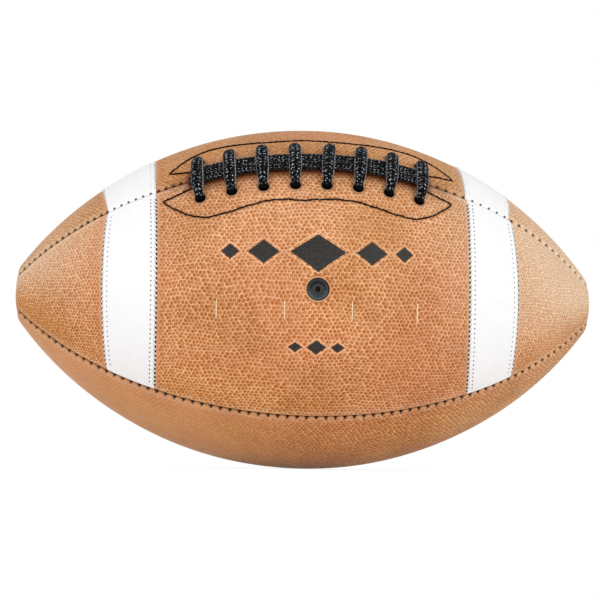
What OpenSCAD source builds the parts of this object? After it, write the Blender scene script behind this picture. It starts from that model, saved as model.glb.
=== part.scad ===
// American football. Four leather panels turn in along their seams over linings and a lobed
// bladder, and one braided lace closes the opening between two of them.
// The ball lies along X. The panels face front (-Y), top (+Z), back (+Y) and bottom (-Z).
// Clock angles run round X from the top towards the front, so the laced seam is at 45 degrees.

/* [Ball] */
// Length from tip to tip
ball_length = 285; // [275:0.5:295]
// Diameter at the middle
belly_d = 167.5; // [160:0.5:176]
// Radius of the rounded tips
nose_r = 22; // [18:0.5:28]
// How far the tips are pressed in where the four panels meet
tip_press = 2.5; // [1:0.1:3]
// Radius of the flattened end of a tip
tip_r = 50; // [46:1:70]

/* [Leather panels] */
// Thickness of the leather
leather_t = 2.3; // [2:0.05:2.4]
// Outer radius of the leather where it turns down into a seam
roll_r = 2.5; // [2.4:0.05:3]
// Depth of the open valley in a seam, as a share of the roll radius
valley_share = 0.85; // [0.8:0.01:0.9]
// Width of the seam allowance that is turned inside
allowance_w = 6; // [4:0.25:7]
// Distance from each tip to where the seam allowances are trimmed off
allowance_tip_gap = 18; // [16:1:32]
// Gap between the two panels in a seam
seam_gap = 0.1; // [0.05:0.01:0.2]

/* [Linings and bladder] */
// Thickness of the cloth lining behind each panel
lining_t = 1; // [0.6:0.1:1.4]
// Distance from each tip to the end of the linings
lining_tip_gap = 26; // [23:1:42]
// Wall of the bladder
bladder_t = 0.7; // [0.6:0.05:1.2]
// Gap between one layer and the next
layer_gap = 0.1; // [0.05:0.01:0.2]

/* [Stripes] */
// Distance from the middle of the ball to the inner edge of a stripe
stripe_from = 74; // [70:0.5:78]
// Width of a stripe
stripe_w = 24.5; // [20:0.5:28]
// Thickness of the stripe material
stripe_t = 0.9; // [0.7:0.05:1.1]
// How far a stripe stands above the leather
stripe_proud = 0.35; // [0.2:0.05:0.6]

/* [Lacing] */
// Number of cross laces
lace_bars = 8; // [6:1:8]
// Distance from one cross lace to the next
lace_pitch = 14.8; // [13:0.1:15]
// How far the hand-laced row sits off the middle of the ball
lace_shift = -2.2; // [-3:0.1:3]
// Distance from the seam to the middle of a lace hole
hole_from_seam = 12.3; // [11.5:0.1:14]
// Diameter of a lace hole
hole_d = 4.9; // [4.7:0.1:5.6]
// Width of the flat lace where it crosses the seam
lace_w = 5.6; // [5:0.1:6]
// Thickness of the lace
lace_t = 2.6; // [2.2:0.1:2.8]
// Width of each of the two strands that run under the cross laces
strand_w = 5; // [4.4:0.1:5.2]
// Width of the lace where it is pinched in a hole
pinch_w = 4.1; // [3.8:0.1:4.2]
// Air between two lengths of lace that pass each other
lace_air = 0.5; // [0.45:0.05:0.8]
// Air between the running strands and the leather
strand_air = 0.3; // [0.2:0.05:0.6]
// Diameter of the opening in the seam where the strands dive inside
slit_d = 6.4; // [6.2:0.1:7]
// Distance from the last cross lace to the middle of that opening
slit_from_bar = 6; // [5.8:0.1:6.6]
// How far a tucked lace end runs outwards behind the seam
tuck_reach = 6; // [4:0.5:6.5]

/* [Lace facings] */
// Thickness of the reinforcing leather behind the holes
facing_t = 1.2; // [0.8:0.1:1.5]
// Distance from the seam to the edge of a facing at its waist
facing_waist = 20.5; // [19:0.5:22]
// Distance from the seam to the edge of a facing at its bellies
facing_belly = 23.9; // [23:0.1:25.5]
// Distance from the seam to the pointed ends of a facing
facing_tip = 9.4; // [8.5:0.1:11]
// Distance along the ball from the middle of the lacing to the pointed ends
facing_reach = 67.8; // [66.5:0.1:70]
// Distance along the ball from the middle of the lacing to the bellies
belly_at = 50.2; // [46:0.2:54]
// Half the length of the straight waist
waist_half = 17; // [12:0.5:22]

/* [Tongue] */
// Thickness of the pad between the lacing and the bladder
tongue_t = 1; // [0.8:0.1:1.5]
// Length of the pad
tongue_length = 130; // [126:1:134]
// Width of the pad
tongue_w = 42; // [38:1:46]

/* [Valve] */
// Diameter of the rubber valve housing where it shows in the leather
valve_d = 10.5; // [9.5:0.1:12]
// How far the valve face sits below the leather
valve_recess = 0.4; // [0.1:0.1:0.8]
// Diameter of the plug in the middle of the valve
core_d = 5.6; // [5:0.1:6.4]
// Diameter of the needle hole through the plug
needle_d = 2.1; // [1.8:0.1:2.4]
// Diameter of the flange that is bonded to the bladder
valve_flange_d = 22; // [18:0.5:23]
// Thickness of the flange
valve_flange_t = 1.5; // [1:0.1:2]
// Diameter of the tube that reaches into the bladder
valve_tube_d = 9; // [8:0.1:9.4]
// Length of the needle hole through the plug
valve_length = 15; // [13:0.5:20]

/* [Threads] */
// Distance from each tip to the ends of the seam threads
thread_tip_gap = 10; // [9:1:32]
// Diameter of the waxed thread in the seams
seam_thread_d = 0.9; // [0.7:0.05:1]
// Depth of the seam thread below the leather, as a share of the roll radius
thread_depth_share = 0.32; // [0.28:0.01:0.36]
// Thickness of the sewing thread on the stripes and facings
stitch_d = 0.5; // [0.3:0.05:0.6]
// Distance from an edge to the row of stitches inside it
stitch_margin = 2.8; // [2:0.1:3.5]

/* [Hidden] */
$fn = 144;

// Clock angles of the seams, each at the start of the panel that follows it
laced_seam = 45;
lower_front_seam = 135;
lower_back_seam = 225;
upper_back_seam = 315;
quarter_turn = 90;

// The outline is one arc along the belly and a smaller one round each tip, tangent to it,
// with the end of the tip pressed in
belly_r = belly_d / 2;
half_length = ball_length / 2;
nose_x = half_length + tip_press - nose_r;
arc_r = (nose_x * nose_x + belly_r * belly_r - nose_r * nose_r) / (2 * (belly_r - nose_r));
arc_offset = arc_r - belly_r;
arc_half_angle = asin(nose_x / (arc_r - nose_r));
joint_overlap = 1;
overrun = roll_r;
allowance_reach = half_length - allowance_tip_gap;
lining_reach = half_length - lining_tip_gap;
thread_reach = half_length - thread_tip_gap;

// Depths of the layers below the outside of the leather
lining_top_in = leather_t + layer_gap;
lining_in = lining_top_in + lining_t;
facing_top_in = lining_in + layer_gap;
facing_in = facing_top_in + facing_t;
return_in = facing_in + 2 * layer_gap + lace_t / 2;
tongue_top_in = return_in + lace_t / 2 + 2 * layer_gap;
tongue_in = tongue_top_in + tongue_t;
bladder_in = lining_in + layer_gap;
allowance_in = leather_t + allowance_w;
valley_in = valley_share * roll_r;
thread_in = thread_depth_share * roll_r;
flange_half = seam_gap / 2 + leather_t;
lining_margin = asin((flange_half + layer_gap) / (skin_r(lining_reach) - 2 * lining_in));

// The room behind the lacing, where the seam allowances are trimmed and the bladder is dished
room_half_length = facing_reach + 2 * layer_gap;
room_half_width = max(facing_belly, tongue_w / 2) + 2 * layer_gap;

// Stripe
stripe_to = stripe_from + stripe_w;
stripe_seat = stripe_t - stripe_proud;

// Lace heights above the leather
strand_h = strand_air + lace_t / 2;
bar_h = strand_air + lace_t + lace_air + lace_t / 2;
strand_y = (strand_w + lace_air) / 2;
slit_y = (lace_t + lace_air) / 2;
last_bar = (lace_bars - 1) / 2 * lace_pitch;
slit_at = last_bar + slit_from_bar;
lace_sides = 8;

// Valve depths: the flat flange lies deep enough for its rim to clear the curved lining
lining_inner_r = belly_r - lining_in;
flange_sag = lining_inner_r - sqrt(lining_inner_r * lining_inner_r - valve_flange_d * valve_flange_d / 4);
housing_in = lining_in + layer_gap + flange_sag;
flange_in = housing_in + valve_flange_t;

leather_colour = "#c58450";
white_colour = "#f1f1f4";
black_colour = "#17181b";
lining_colour = "#cfc6b0";
facing_colour = "#9c6a3f";
bladder_colour = "#2b2b2e";
valve_colour = "#4b4c50";

// Radius of the ball at a distance x from the middle, good as far as the belly arc runs
function skin_r(x) = sqrt(arc_r * arc_r - x * x) - arc_offset;

// Where the two arcs of the outline meet, for an outline that lies a depth inside the leather
function joint_x(depth) = nose_x + (nose_r - depth) * sin(arc_half_angle);

// Point at x along the ball, y to the side of the laced seam and h above the leather
function skin_normal(x, y) =
    let (r = skin_r(x), up = (r + arc_offset) / arc_r)
    [x / arc_r, up * y / r, up * sqrt(r * r - y * y) / r];
function skin_point(x, y, h) =
    let (r = skin_r(x))
    [x, y, sqrt(r * r - y * y)] + h * skin_normal(x, y);

// Half outline of the ball, a depth inside the leather: X is the radius and Y runs along the ball
module body_2d(depth) {
    intersection() {
        union() {
            intersection() {
                translate([-arc_offset, 0]) circle(arc_r - depth, $fn = 360);
                translate([0, -joint_x(depth)]) square([belly_d, 2 * joint_x(depth)]);
            }
            for (side = [0, 1]) mirror([0, side]) intersection() {
                translate([0, nose_x]) circle(nose_r - depth);
                translate([0, joint_x(depth)]) square([nose_r, ball_length]);
            }
        }
        pressed_tips_2d(depth);
    }
}

// Room that the pressed tips leave to the outline
module pressed_tips_2d(depth) {
    translate([0, -nose_x]) square([belly_d, 2 * nose_x]);
    for (side = [0, 1]) mirror([0, side]) translate([0, half_length - tip_r])
        circle(tip_r - depth, $fn = 360);
}

module shell_2d(from, to) {
    difference() {
        body_2d(from);
        body_2d(to);
    }
}

// Layer of the shell between two heights along the ball
module band_2d(from, to, x0, x1) {
    intersection() {
        shell_2d(from, to);
        translate([0, x0]) square([belly_d, x1 - x0]);
    }
}

// Turns a half outline about the length of the ball, from a clock angle towards the front
module revolved(clock, turn) {
    rotate([clock, 0, 0]) rotate([180, -90, 0]) rotate_extrude(angle = turn) children();
}

// Draws in the plane of a seam: X out through the seam, Y along the ball, Z back round the clock
module in_seam_plane(clock) {
    rotate([clock, 0, 0]) rotate([-90, -90, 0]) children();
}

// Draws over a seam: X along the ball, Y back round the clock, Z out through the seam
module over_seam(clock) {
    rotate([clock, 0, 0]) children();
}

// Puts its children on the leather beside the laced seam, with Z square to the leather
module on_skin(x, y) {
    over_seam(laced_seam) rotate([-asin(y / skin_r(x)), 0, 0])
        translate([0, 0, -arc_offset]) rotate([0, asin(x / arc_r), 0])
            translate([0, 0, arc_r]) children();
}

// Section of the valley where two panels roll down into a seam, round an arc of the given radius
// and as far in as the given depth
module valley_2d(arc, tube, depth) {
    difference() {
        translate([arc - depth, -seam_gap / 2 - roll_r])
            square([depth + overrun, seam_gap + 2 * roll_r]);
        for (side = [-1, 1]) translate([arc - roll_r, side * (seam_gap / 2 + roll_r)])
            circle(tube);
    }
}

// The valley along the belly arc of one seam, run on a little past the joints
module belly_valley(clock, tube, depth) {
    half_turn = arc_half_angle + joint_overlap;
    in_seam_plane(clock) translate([-arc_offset, 0, 0])
        rotate([0, 0, -half_turn]) rotate_extrude(angle = 2 * half_turn) valley_2d(arc_r, tube, depth);
}

// The valley over the two tips of one seam, a little wider than the belly's where they meet
module nose_valleys(clock) {
    for (side = [0, 1]) in_seam_plane(clock) mirror([0, side, 0]) translate([0, nose_x, 0])
        rotate([0, 0, arc_half_angle]) rotate_extrude(angle = quarter_turn - arc_half_angle / 2)
            valley_2d(nose_r, roll_r - layer_gap, valley_in);
}

// Everything within a distance of a seam plane, as far in as the axis
module seam_slab(clock, half) {
    in_seam_plane(clock) translate([0, -half_length, -half])
        cube([belly_d, ball_length, 2 * half]);
}

// Seam allowance turned inside, on one side of a seam: side 1 is back round the clock
module allowance(clock, side) {
    in_seam_plane(clock) mirror([0, 0, side > 0 ? 0 : 1]) translate([0, 0, seam_gap / 2])
        linear_extrude(leather_t) band_2d(leather_t / 2, allowance_in, -allowance_reach, allowance_reach);
}

// Block over the laced seam that takes in the lacing and what lies behind it
module lacing_block(grow) {
    over_seam(laced_seam)
        translate([lace_shift - room_half_length - grow, -room_half_width - grow, belly_r / 2])
            cube([2 * (room_half_length + grow), 2 * (room_half_width + grow), belly_r]);
}

// Recess for the stripes of one panel, rolled down at both seams like the leather
module stripe_recess(clock) {
    floor_in = stripe_seat + layer_gap;
    for (side = [0, 1]) mirror([side, 0, 0]) difference() {
        revolved(clock, quarter_turn)
            band_2d(-overrun, roll_r, stripe_from - layer_gap, stripe_to + layer_gap);
        difference() {
            revolved(clock, quarter_turn)
                band_2d(floor_in, roll_r + overrun, stripe_from - overrun, stripe_to + overrun);
            for (seam = [clock, clock + quarter_turn]) belly_valley(seam, roll_r - floor_in, roll_r);
        }
    }
}

// One stripe, which bears against the seam threads where it rolls down over them
module stripe(clock, side) {
    color(white_colour) mirror([side, 0, 0]) difference() {
        revolved(clock, quarter_turn)
            band_2d(-stripe_proud, roll_r - layer_gap, stripe_from, stripe_to);
        for (seam = [clock, clock + quarter_turn]) {
            belly_valley(seam, roll_r + stripe_proud, roll_r);
            seam_slab(seam, seam_gap / 2);
            seam_ring(seam, 0, thread_reach, seam_thread_d + layer_gap);
        }
        difference() {
            revolved(clock, quarter_turn)
                band_2d(stripe_seat, roll_r + overrun, stripe_from - overrun, stripe_to + overrun);
            for (seam = [clock, clock + quarter_turn]) belly_valley(seam, roll_r - stripe_seat, roll_r);
        }
    }
}

// One panel from a clock angle to the next seam, with its rolled edges and seam allowances
module plain_panel(clock) {
    difference() {
        union() {
            revolved(clock, quarter_turn) shell_2d(0, leather_t);
            allowance(clock, -1);
            allowance(clock + quarter_turn, 1);
        }
        for (seam = [clock, clock + quarter_turn]) {
            belly_valley(seam, roll_r, valley_in);
            nose_valleys(seam);
            seam_slab(seam, seam_gap / 2);
        }
    }
}

// Places of the lace holes along the ball
function bar_x(i) = lace_shift + (i - (lace_bars - 1) / 2) * lace_pitch;

// The row of lace holes on one side of the seam
module lace_holes(side) {
    for (i = [0 : lace_bars - 1]) on_skin(bar_x(i), side * hole_from_seam)
        translate([0, 0, -tongue_in]) cylinder(d = hole_d, h = tongue_in + overrun, $fn = 48);
}

// The two openings in the laced seam where the running strands dive inside
module slits() {
    for (side = [-1, 1]) on_skin(lace_shift + side * slit_at, 0)
        translate([0, 0, -allowance_in]) cylinder(d = slit_d, h = allowance_in + overrun, $fn = 48);
}

// A laced panel: striped, punched for the lace and trimmed behind it
module laced_panel(clock, side) {
    difference() {
        plain_panel(clock);
        stripe_recess(clock);
        lace_holes(side);
        slits();
        intersection() {
            lacing_block(0);
            revolved(0, 360) body_2d(facing_in);
        }
    }
}

module valve_hole() {
    at_valve() translate([0, 0, -tongue_in])
        cylinder(d = valve_d + 2 * layer_gap, h = tongue_in + overrun, $fn = 96);
}

// Puts its children at the valve, with Z out of the middle of the front panel
module at_valve() {
    rotate([90, 0, 0]) translate([0, 0, belly_r]) children();
}

module panel_front() {
    color(leather_colour) difference() {
        laced_panel(laced_seam, -1);
        valve_hole();
    }
}

module panel_top() {
    color(leather_colour) laced_panel(upper_back_seam, 1);
}

module panel_back() {
    color(leather_colour) plain_panel(lower_back_seam);
}

module panel_bottom() {
    color(leather_colour) plain_panel(lower_front_seam);
}

// Lining of one panel, which stops short of the seam allowances
module lining(clock) {
    revolved(clock + lining_margin, quarter_turn - 2 * lining_margin)
        band_2d(lining_top_in, lining_in, -lining_reach, lining_reach);
}

module lining_front() {
    color(lining_colour) difference() {
        lining(laced_seam);
        lace_holes(-1);
        valve_hole();
    }
}

module lining_top() {
    color(lining_colour) difference() {
        lining(upper_back_seam);
        lace_holes(1);
    }
}

module lining_back() {
    color(lining_colour) lining(lower_back_seam);
}

module lining_bottom() {
    color(lining_colour) lining(lower_front_seam);
}

// Distance from the seam to the edge of a facing, at u along the ball from the lacing's middle
function facing_edge(u) =
    u <= waist_half ? facing_waist :
    u <= belly_at ? facing_waist + (facing_belly - facing_waist)
        * (1 - cos(180 * (u - waist_half) / (belly_at - waist_half))) / 2 :
    facing_tip + (facing_belly - facing_tip) * cos(90 * (u - belly_at) / (facing_reach - belly_at));

facing_steps = 36;
function facing_u(k) = facing_reach * (2 * k / facing_steps - 1);
// The inner edge runs from each point in to the last cross lace
facing_neck_at = last_bar + lace_w;
facing_neck_y = facing_tip / 2;

// Outline of a facing beside the seam, drawn with X along the ball and Y away from the seam
module facing_2d(inset) {
    polygon(concat(
        [for (k = [0 : facing_steps]) [facing_u(k), facing_edge(abs(facing_u(k))) - inset]],
        [[facing_neck_at, facing_neck_y + inset], [facing_neck_at, 0],
         [-facing_neck_at, 0], [-facing_neck_at, facing_neck_y + inset]]));
}

// The row of stitches that shows where a facing is sewn on
module stitch_line_2d() {
    difference() {
        facing_2d(stitch_d / 2);
        translate([0, -stitch_d]) facing_2d(stitch_d / 2);
    }
}

// Cuts an outline beside the laced seam down through one layer of a panel
module through_layer(clock, side, from, to) {
    intersection() {
        revolved(clock, quarter_turn) band_2d(from, to, -allowance_reach, allowance_reach);
        over_seam(laced_seam) translate([lace_shift, 0, belly_r / 2])
            mirror([0, side > 0 ? 0 : 1, 0]) linear_extrude(belly_r) children();
    }
}

module facing(clock, side) {
    color(facing_colour) difference() {
        through_layer(clock, side, facing_top_in, facing_in) facing_2d(0);
        seam_slab(laced_seam, flange_half + layer_gap);
        lace_holes(side);
        slits();
    }
}

module tongue() {
    color(lining_colour) intersection() {
        revolved(laced_seam - quarter_turn, 2 * quarter_turn)
            band_2d(tongue_top_in, tongue_in, -allowance_reach, allowance_reach);
        over_seam(laced_seam) translate([lace_shift, 0, belly_r / 2]) linear_extrude(belly_r)
            union() {
                square([tongue_length - tongue_w / 2, tongue_w], center = true);
                square([tongue_length, tongue_w / 2], center = true);
                for (sx = [-1, 1], sy = [-1, 1])
                    translate([sx * (tongue_length / 2 - tongue_w / 4), sy * tongue_w / 4])
                        circle(tongue_w / 4);
            }
    }
}

// The bladder's form at a depth: channels for the seam allowances, a dish for the lacing
// and a seat for the valve's flange, each wider by the given amount
module lobed_body(depth, grow) {
    difference() {
        revolved(0, 360) body_2d(depth);
        for (seam = [laced_seam, lower_front_seam, lower_back_seam, upper_back_seam]) in_seam_plane(seam)
            linear_extrude(2 * (flange_half + layer_gap + grow), center = true)
                band_2d(0, allowance_in + layer_gap + grow,
                    -allowance_reach - layer_gap - grow, allowance_reach + layer_gap + grow);
        difference() {
            lacing_block(grow);
            revolved(0, 360) body_2d(tongue_in + layer_gap + grow);
        }
        at_valve() translate([0, 0, -flange_in - layer_gap - grow])
            cylinder(d = valve_flange_d + 2 * (layer_gap + grow), h = belly_r);
    }
}

module bladder() {
    color(bladder_colour) difference() {
        lobed_body(bladder_in, 0);
        lobed_body(bladder_in + bladder_t, bladder_t);
        at_valve() translate([0, 0, -valve_length - belly_r / 2])
            cylinder(d = valve_tube_d + 2 * layer_gap, h = belly_r);
    }
}

// Rubber housing bonded to the bladder: its face shows in the leather
module valve_housing() {
    color(valve_colour) at_valve() difference() {
        union() {
            translate([0, 0, -flange_in]) cylinder(d = valve_flange_d, h = valve_flange_t);
            translate([0, 0, -flange_in]) cylinder(d = valve_d, h = flange_in - valve_recess);
            translate([0, 0, -valve_recess - valve_length])
                cylinder(d = valve_tube_d, h = valve_length - valve_flange_t);
        }
        translate([0, 0, -valve_recess - valve_length - overrun])
            cylinder(d = core_d + 2 * layer_gap, h = valve_length + 2 * overrun);
    }
}

// Plug in the housing, with the needle hole through it
module valve_core() {
    color(black_colour) at_valve() translate([0, 0, -valve_recess - valve_length]) difference() {
        cylinder(d = core_d, h = valve_length);
        translate([0, 0, -overrun]) cylinder(d = needle_d, h = valve_length + 2 * overrun);
    }
}

// A station of the lace holds its place, its width and thickness, and the way its width points:
// 0 points along the ball and 90 to the side
function station(x, y, h, w, turn) = [[x, y, h], w, turn];

// Half of a cross lace, from the seam down into its hole, as shares of the hole's distance,
// of the height over the strands and of the way from full width to the pinch
bar_shares = [[0, 1, 0], [0.3, 0.99, 0], [0.58, 0.9, 0], [0.8, 0.68, 0.1], [0.94, 0.38, 0.4], [1, 0.02, 0.9]];

function bar_half(i, side) = [for (s = bar_shares)
    station(bar_x(i), side * hole_from_seam * s[0], bar_h * s[1],
        lace_w + (pinch_w - lace_w) * s[2], 0)];
function turned_back(list) = [for (k = [len(list) - 1 : -1 : 0]) list[k]];

// One cross lace with its legs down through both holes, from the front to the top
function cross_lace(i) = concat(
    [station(bar_x(i), -hole_from_seam, -return_in + lace_t / 2, pinch_w, 0),
     station(bar_x(i), -hole_from_seam, -leather_t, pinch_w, 0)],
    turned_back(bar_half(i, -1)),
    [for (k = [1 : len(bar_shares) - 1]) bar_half(i, 1)[k]],
    [station(bar_x(i), hole_from_seam, -leather_t, pinch_w, 0),
     station(bar_x(i), hole_from_seam, -return_in + lace_t / 2, pinch_w, 0)]);

// The slanting return behind the panels, from the top hole of one cross lace to the next
return_turn = -atan2(lace_pitch, 2 * hole_from_seam);
return_shares = [0.72, 0.3, -0.3, -0.72];
function inner_return(i) = [for (s = return_shares)
    station(bar_x(i) + (s - 1) / 2 * lace_pitch, s * hole_from_seam, -return_in, lace_w, return_turn)];

// Where a running strand bends down into an opening. Each row holds the way back from the middle
// of the opening as a share of its diameter, the way out to the strand's own line as a share, the
// height as a share of the strand's and the turn of its width
dive_shares = [[0.06, 0, -0.35, 20], [0.33, 0.5, 0.8, 70]];
function dive(end, side) = concat(
    [station(lace_shift + end * slit_at, side * slit_y, -leather_t, pinch_w, 0)],
    [for (s = dive_shares) station(lace_shift + end * (slit_at - s[0] * slit_d),
        side * (slit_y + s[1] * (strand_y - slit_y)), s[2] * strand_h, pinch_w, s[3])]);

// A running strand from the left opening to the right one, on one side of the seam
strand_steps = 2 * lace_bars;
function strand(side) = concat(
    dive(-1, side),
    [for (k = [0 : strand_steps]) station(lace_shift + last_bar * (2 * k / strand_steps - 1),
        side * strand_y, strand_h, strand_w, 90)],
    turned_back(dive(1, side)));

// A tucked end behind the seam, as shares of its reach along and away from the seam
tuck_shares = [[0.25, 0.5], [0.5, 1]];
function tuck(end, side) = concat(
    [station(lace_shift + end * slit_at, side * slit_y, -return_in + lace_t / 2, pinch_w, 0)],
    [for (s = tuck_shares) station(lace_shift + end * (slit_at + tuck_reach * s[0]),
        side * (slit_y + tuck_reach * s[1]), -return_in, lace_w, 0)]);

// The way in from an opening to the nearest hole, as shares of the distances along and across
way_shares = [[0.7, 0.4], [0.3, 0.75]];
way_turn = 25;
function way_in(end, side) = concat(
    [station(lace_shift + end * slit_at, side * slit_y, -return_in + lace_t / 2, pinch_w, 0)],
    [for (s = way_shares) station(lace_shift + end * (last_bar + slit_from_bar * s[0]),
        side * hole_from_seam * s[1], -return_in, pinch_w, end * side * way_turn)]);

// The whole route: tucked end, front strand, the cross laces from right to left with their
// returns, top strand, tucked end
route = concat(
    turned_back(tuck(-1, -1)), strand(-1), way_in(1, -1),
    [for (i = [lace_bars - 1 : -1 : 0]) each concat(cross_lace(i), i > 0 ? inner_return(i) : [])],
    turned_back(way_in(-1, 1)), strand(1), tuck(1, 1));

route_points = [for (s = route) skin_point(s[0][0], s[0][1], s[0][2])];

function unit(v) = v / norm(v);

// Ring of points round one station: an oval whose width points the station's way
function ring(k) =
    let (s = route[k], p = route_points[k],
         ahead = unit(route_points[min(k + 1, len(route) - 1)] - route_points[max(k - 1, 0)]),
         n = skin_normal(s[0][0], s[0][1]),
         along = unit(cross([0, 1, 0], n)),
         to_side = cross(n, along),
         wish = cos(s[2]) * along + sin(s[2]) * to_side,
         wide = unit(wish - (wish * ahead) * ahead),
         thick = cross(ahead, wide))
    [for (j = [0 : lace_sides - 1])
        let (a = 360 * (j + 0.5) / lace_sides)
        p + s[1] / 2 * cos(a) * wide + lace_t / 2 * sin(a) * thick];

lace_rings = [for (k = [0 : len(route) - 1]) ring(k)];

// Least distance between the points of two rings that aren't near each other along the lace
ring_spread = lace_w + lace_air;
lace_near = 5;
lace_least_gap = min([for (a = [0 : len(route) - 1], b = [a + lace_near : 1 : len(route) - 1])
    if (norm(route_points[a] - route_points[b]) < 2 * ring_spread)
        min([for (p = lace_rings[a], q = lace_rings[b]) norm(p - q)])]);

module lace() {
    echo(lace_least_gap = lace_least_gap, lace_stations = len(route));
    rings = len(route);
    color(black_colour) over_seam(laced_seam) polyhedron(
        points = [for (r = lace_rings) each r],
        faces = concat(
            [[for (j = [0 : lace_sides - 1]) j]],
            [for (k = [0 : rings - 2], j = [0 : lace_sides - 1])
                let (a = k * lace_sides + j, b = k * lace_sides + (j + 1) % lace_sides)
                each [[a, a + lace_sides, b + lace_sides], [a, b + lace_sides, b]]],
            [[for (j = [lace_sides - 1 : -1 : 0]) (rings - 1) * lace_sides + j]]));
}

// Round rod low in a seam's valley, between two places along the ball
module seam_ring(clock, x0, x1, d) {
    in_seam_plane(clock) translate([-arc_offset, 0, 0])
        rotate([0, 0, asin(x0 / arc_r)]) rotate_extrude(angle = asin(x1 / arc_r) - asin(x0 / arc_r))
            translate([arc_r - thread_in, 0]) circle(d = d, $fn = 24);
}

// Waxed thread of a seam that is sewn from tip to tip
module seam_thread(clock) {
    color(black_colour) seam_ring(clock, -thread_reach, thread_reach, seam_thread_d);
}

// Waxed thread of the laced seam, which is open between the two slits
module seam_thread_laced() {
    color(black_colour) {
        seam_ring(laced_seam, -thread_reach, lace_shift - slit_at - slit_d / 2, seam_thread_d);
        seam_ring(laced_seam, lace_shift + slit_at + slit_d / 2, thread_reach, seam_thread_d);
    }
}

// Two rows of stitches across a stripe, one inside each edge
module stripe_thread(clock, side) {
    clear_angle = 2 * asin((roll_r + seam_gap) / skin_r(stripe_to));
    out = arc_r + stripe_proud + layer_gap + stitch_d / 2;
    color(black_colour) mirror([side, 0, 0])
        for (x = [stripe_from + stitch_margin, stripe_to - stitch_margin])
            revolved(clock + clear_angle, quarter_turn - 2 * clear_angle)
                translate([-arc_offset, 0]) rotate(asin(x / arc_r)) translate([out, 0])
                    circle(d = stitch_d, $fn = 24);
}

module facing_thread(clock, side) {
    color(black_colour) difference() {
        through_layer(clock, side, -layer_gap - stitch_d, -layer_gap) stitch_line_2d();
        seam_slab(laced_seam, strand_y + lace_w);
    }
}

panel_front();
panel_top();
panel_back();
panel_bottom();
lining_front();
lining_top();
lining_back();
lining_bottom();
stripe(laced_seam, 1);  // stripe_front_left
stripe(laced_seam, 0);  // stripe_front_right
stripe(upper_back_seam, 1);  // stripe_top_left
stripe(upper_back_seam, 0);  // stripe_top_right
facing(laced_seam, -1);  // facing_front
facing(upper_back_seam, 1);  // facing_top
tongue();
lace();
bladder();
valve_housing();
valve_core();
seam_thread_laced();
seam_thread(lower_front_seam);  // seam_thread_lower_front
seam_thread(lower_back_seam);  // seam_thread_lower_back
seam_thread(upper_back_seam);  // seam_thread_upper_back
stripe_thread(laced_seam, 1);  // stripe_thread_front_left
stripe_thread(laced_seam, 0);  // stripe_thread_front_right
stripe_thread(upper_back_seam, 1);  // stripe_thread_top_left
stripe_thread(upper_back_seam, 0);  // stripe_thread_top_right
facing_thread(laced_seam, -1);  // facing_thread_front
facing_thread(upper_back_seam, 1);  // facing_thread_top
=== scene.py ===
import math
from collections import namedtuple

import bpy
import numpy as np
from bpy.props import FloatProperty, FloatVectorProperty, IntProperty, PointerProperty, StringProperty
from mathutils import Matrix


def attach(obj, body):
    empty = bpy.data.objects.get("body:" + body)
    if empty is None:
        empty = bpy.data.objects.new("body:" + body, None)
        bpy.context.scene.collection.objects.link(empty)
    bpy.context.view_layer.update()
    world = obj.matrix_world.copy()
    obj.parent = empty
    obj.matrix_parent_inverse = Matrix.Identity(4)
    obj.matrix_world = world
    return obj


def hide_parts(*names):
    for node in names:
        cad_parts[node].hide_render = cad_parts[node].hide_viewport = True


bl_info = {
    "name": "Laced leather ball",
    "version": (1, 0, 0),
    "blender": (4, 5, 0),
    "location": "View3D > Sidebar > Ball",
    "description": "Leather panels, stripes, lacing, stitching and valve of an american football",
    "category": "Add Mesh",
}

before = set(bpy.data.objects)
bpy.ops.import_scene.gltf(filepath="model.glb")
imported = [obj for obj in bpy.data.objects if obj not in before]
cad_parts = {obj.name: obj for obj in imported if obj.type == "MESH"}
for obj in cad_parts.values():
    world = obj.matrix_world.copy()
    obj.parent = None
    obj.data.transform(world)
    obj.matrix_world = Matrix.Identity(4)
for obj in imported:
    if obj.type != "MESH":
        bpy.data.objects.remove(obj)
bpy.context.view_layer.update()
# Shapes are worked out in millimetres, and the frame is in metres
MM = 0.001

# Clock angles of the seams, from the top towards the front
LACED_SEAM, LOWER_FRONT_SEAM, LOWER_BACK_SEAM, UPPER_BACK_SEAM = 45.0, 135.0, 225.0, 315.0


# ---- Sizes and colours ----

class BallForm(bpy.types.PropertyGroup):
    """Outline of the ball and the seams between its panels, in millimetres"""
    length: FloatProperty(name="Length", description="Tip to tip, in mm", default=285.0)
    belly: FloatProperty(name="Belly", description="Diameter at the middle, in mm", default=167.5)
    nose: FloatProperty(name="Nose radius", description="Radius that the belly's arc is tangent to, in mm",
                        default=22.0)
    press: FloatProperty(name="Press", description="How far each tip is pressed in, in mm", default=2.5)
    tip: FloatProperty(name="Tip radius", description="Radius of the flattened tips, in mm", default=50.0)
    shoulder: FloatProperty(name="Shoulder", description="Radius of the bend round a tip, in mm", default=7.0)
    roll: FloatProperty(name="Seam roll", description="Radius at which a panel turns into a seam, in mm", default=1.15)
    leather: FloatProperty(name="Leather", description="Thickness of the leather, in mm", default=2.3)
    stitch_pitch: FloatProperty(name="Seam stitch", description="Distance between seam stitches, in mm", default=4.6)
    laced_left: FloatProperty(name="Laced seam, left", description="The same left of the lacing", default=3.95)
    laced_right: FloatProperty(name="Laced seam, right", description="The same right of the lacing", default=4.85)
    pucker: FloatProperty(name="Pucker", description="Depth of the hole at a seam stitch, in mm", default=0.9)


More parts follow.
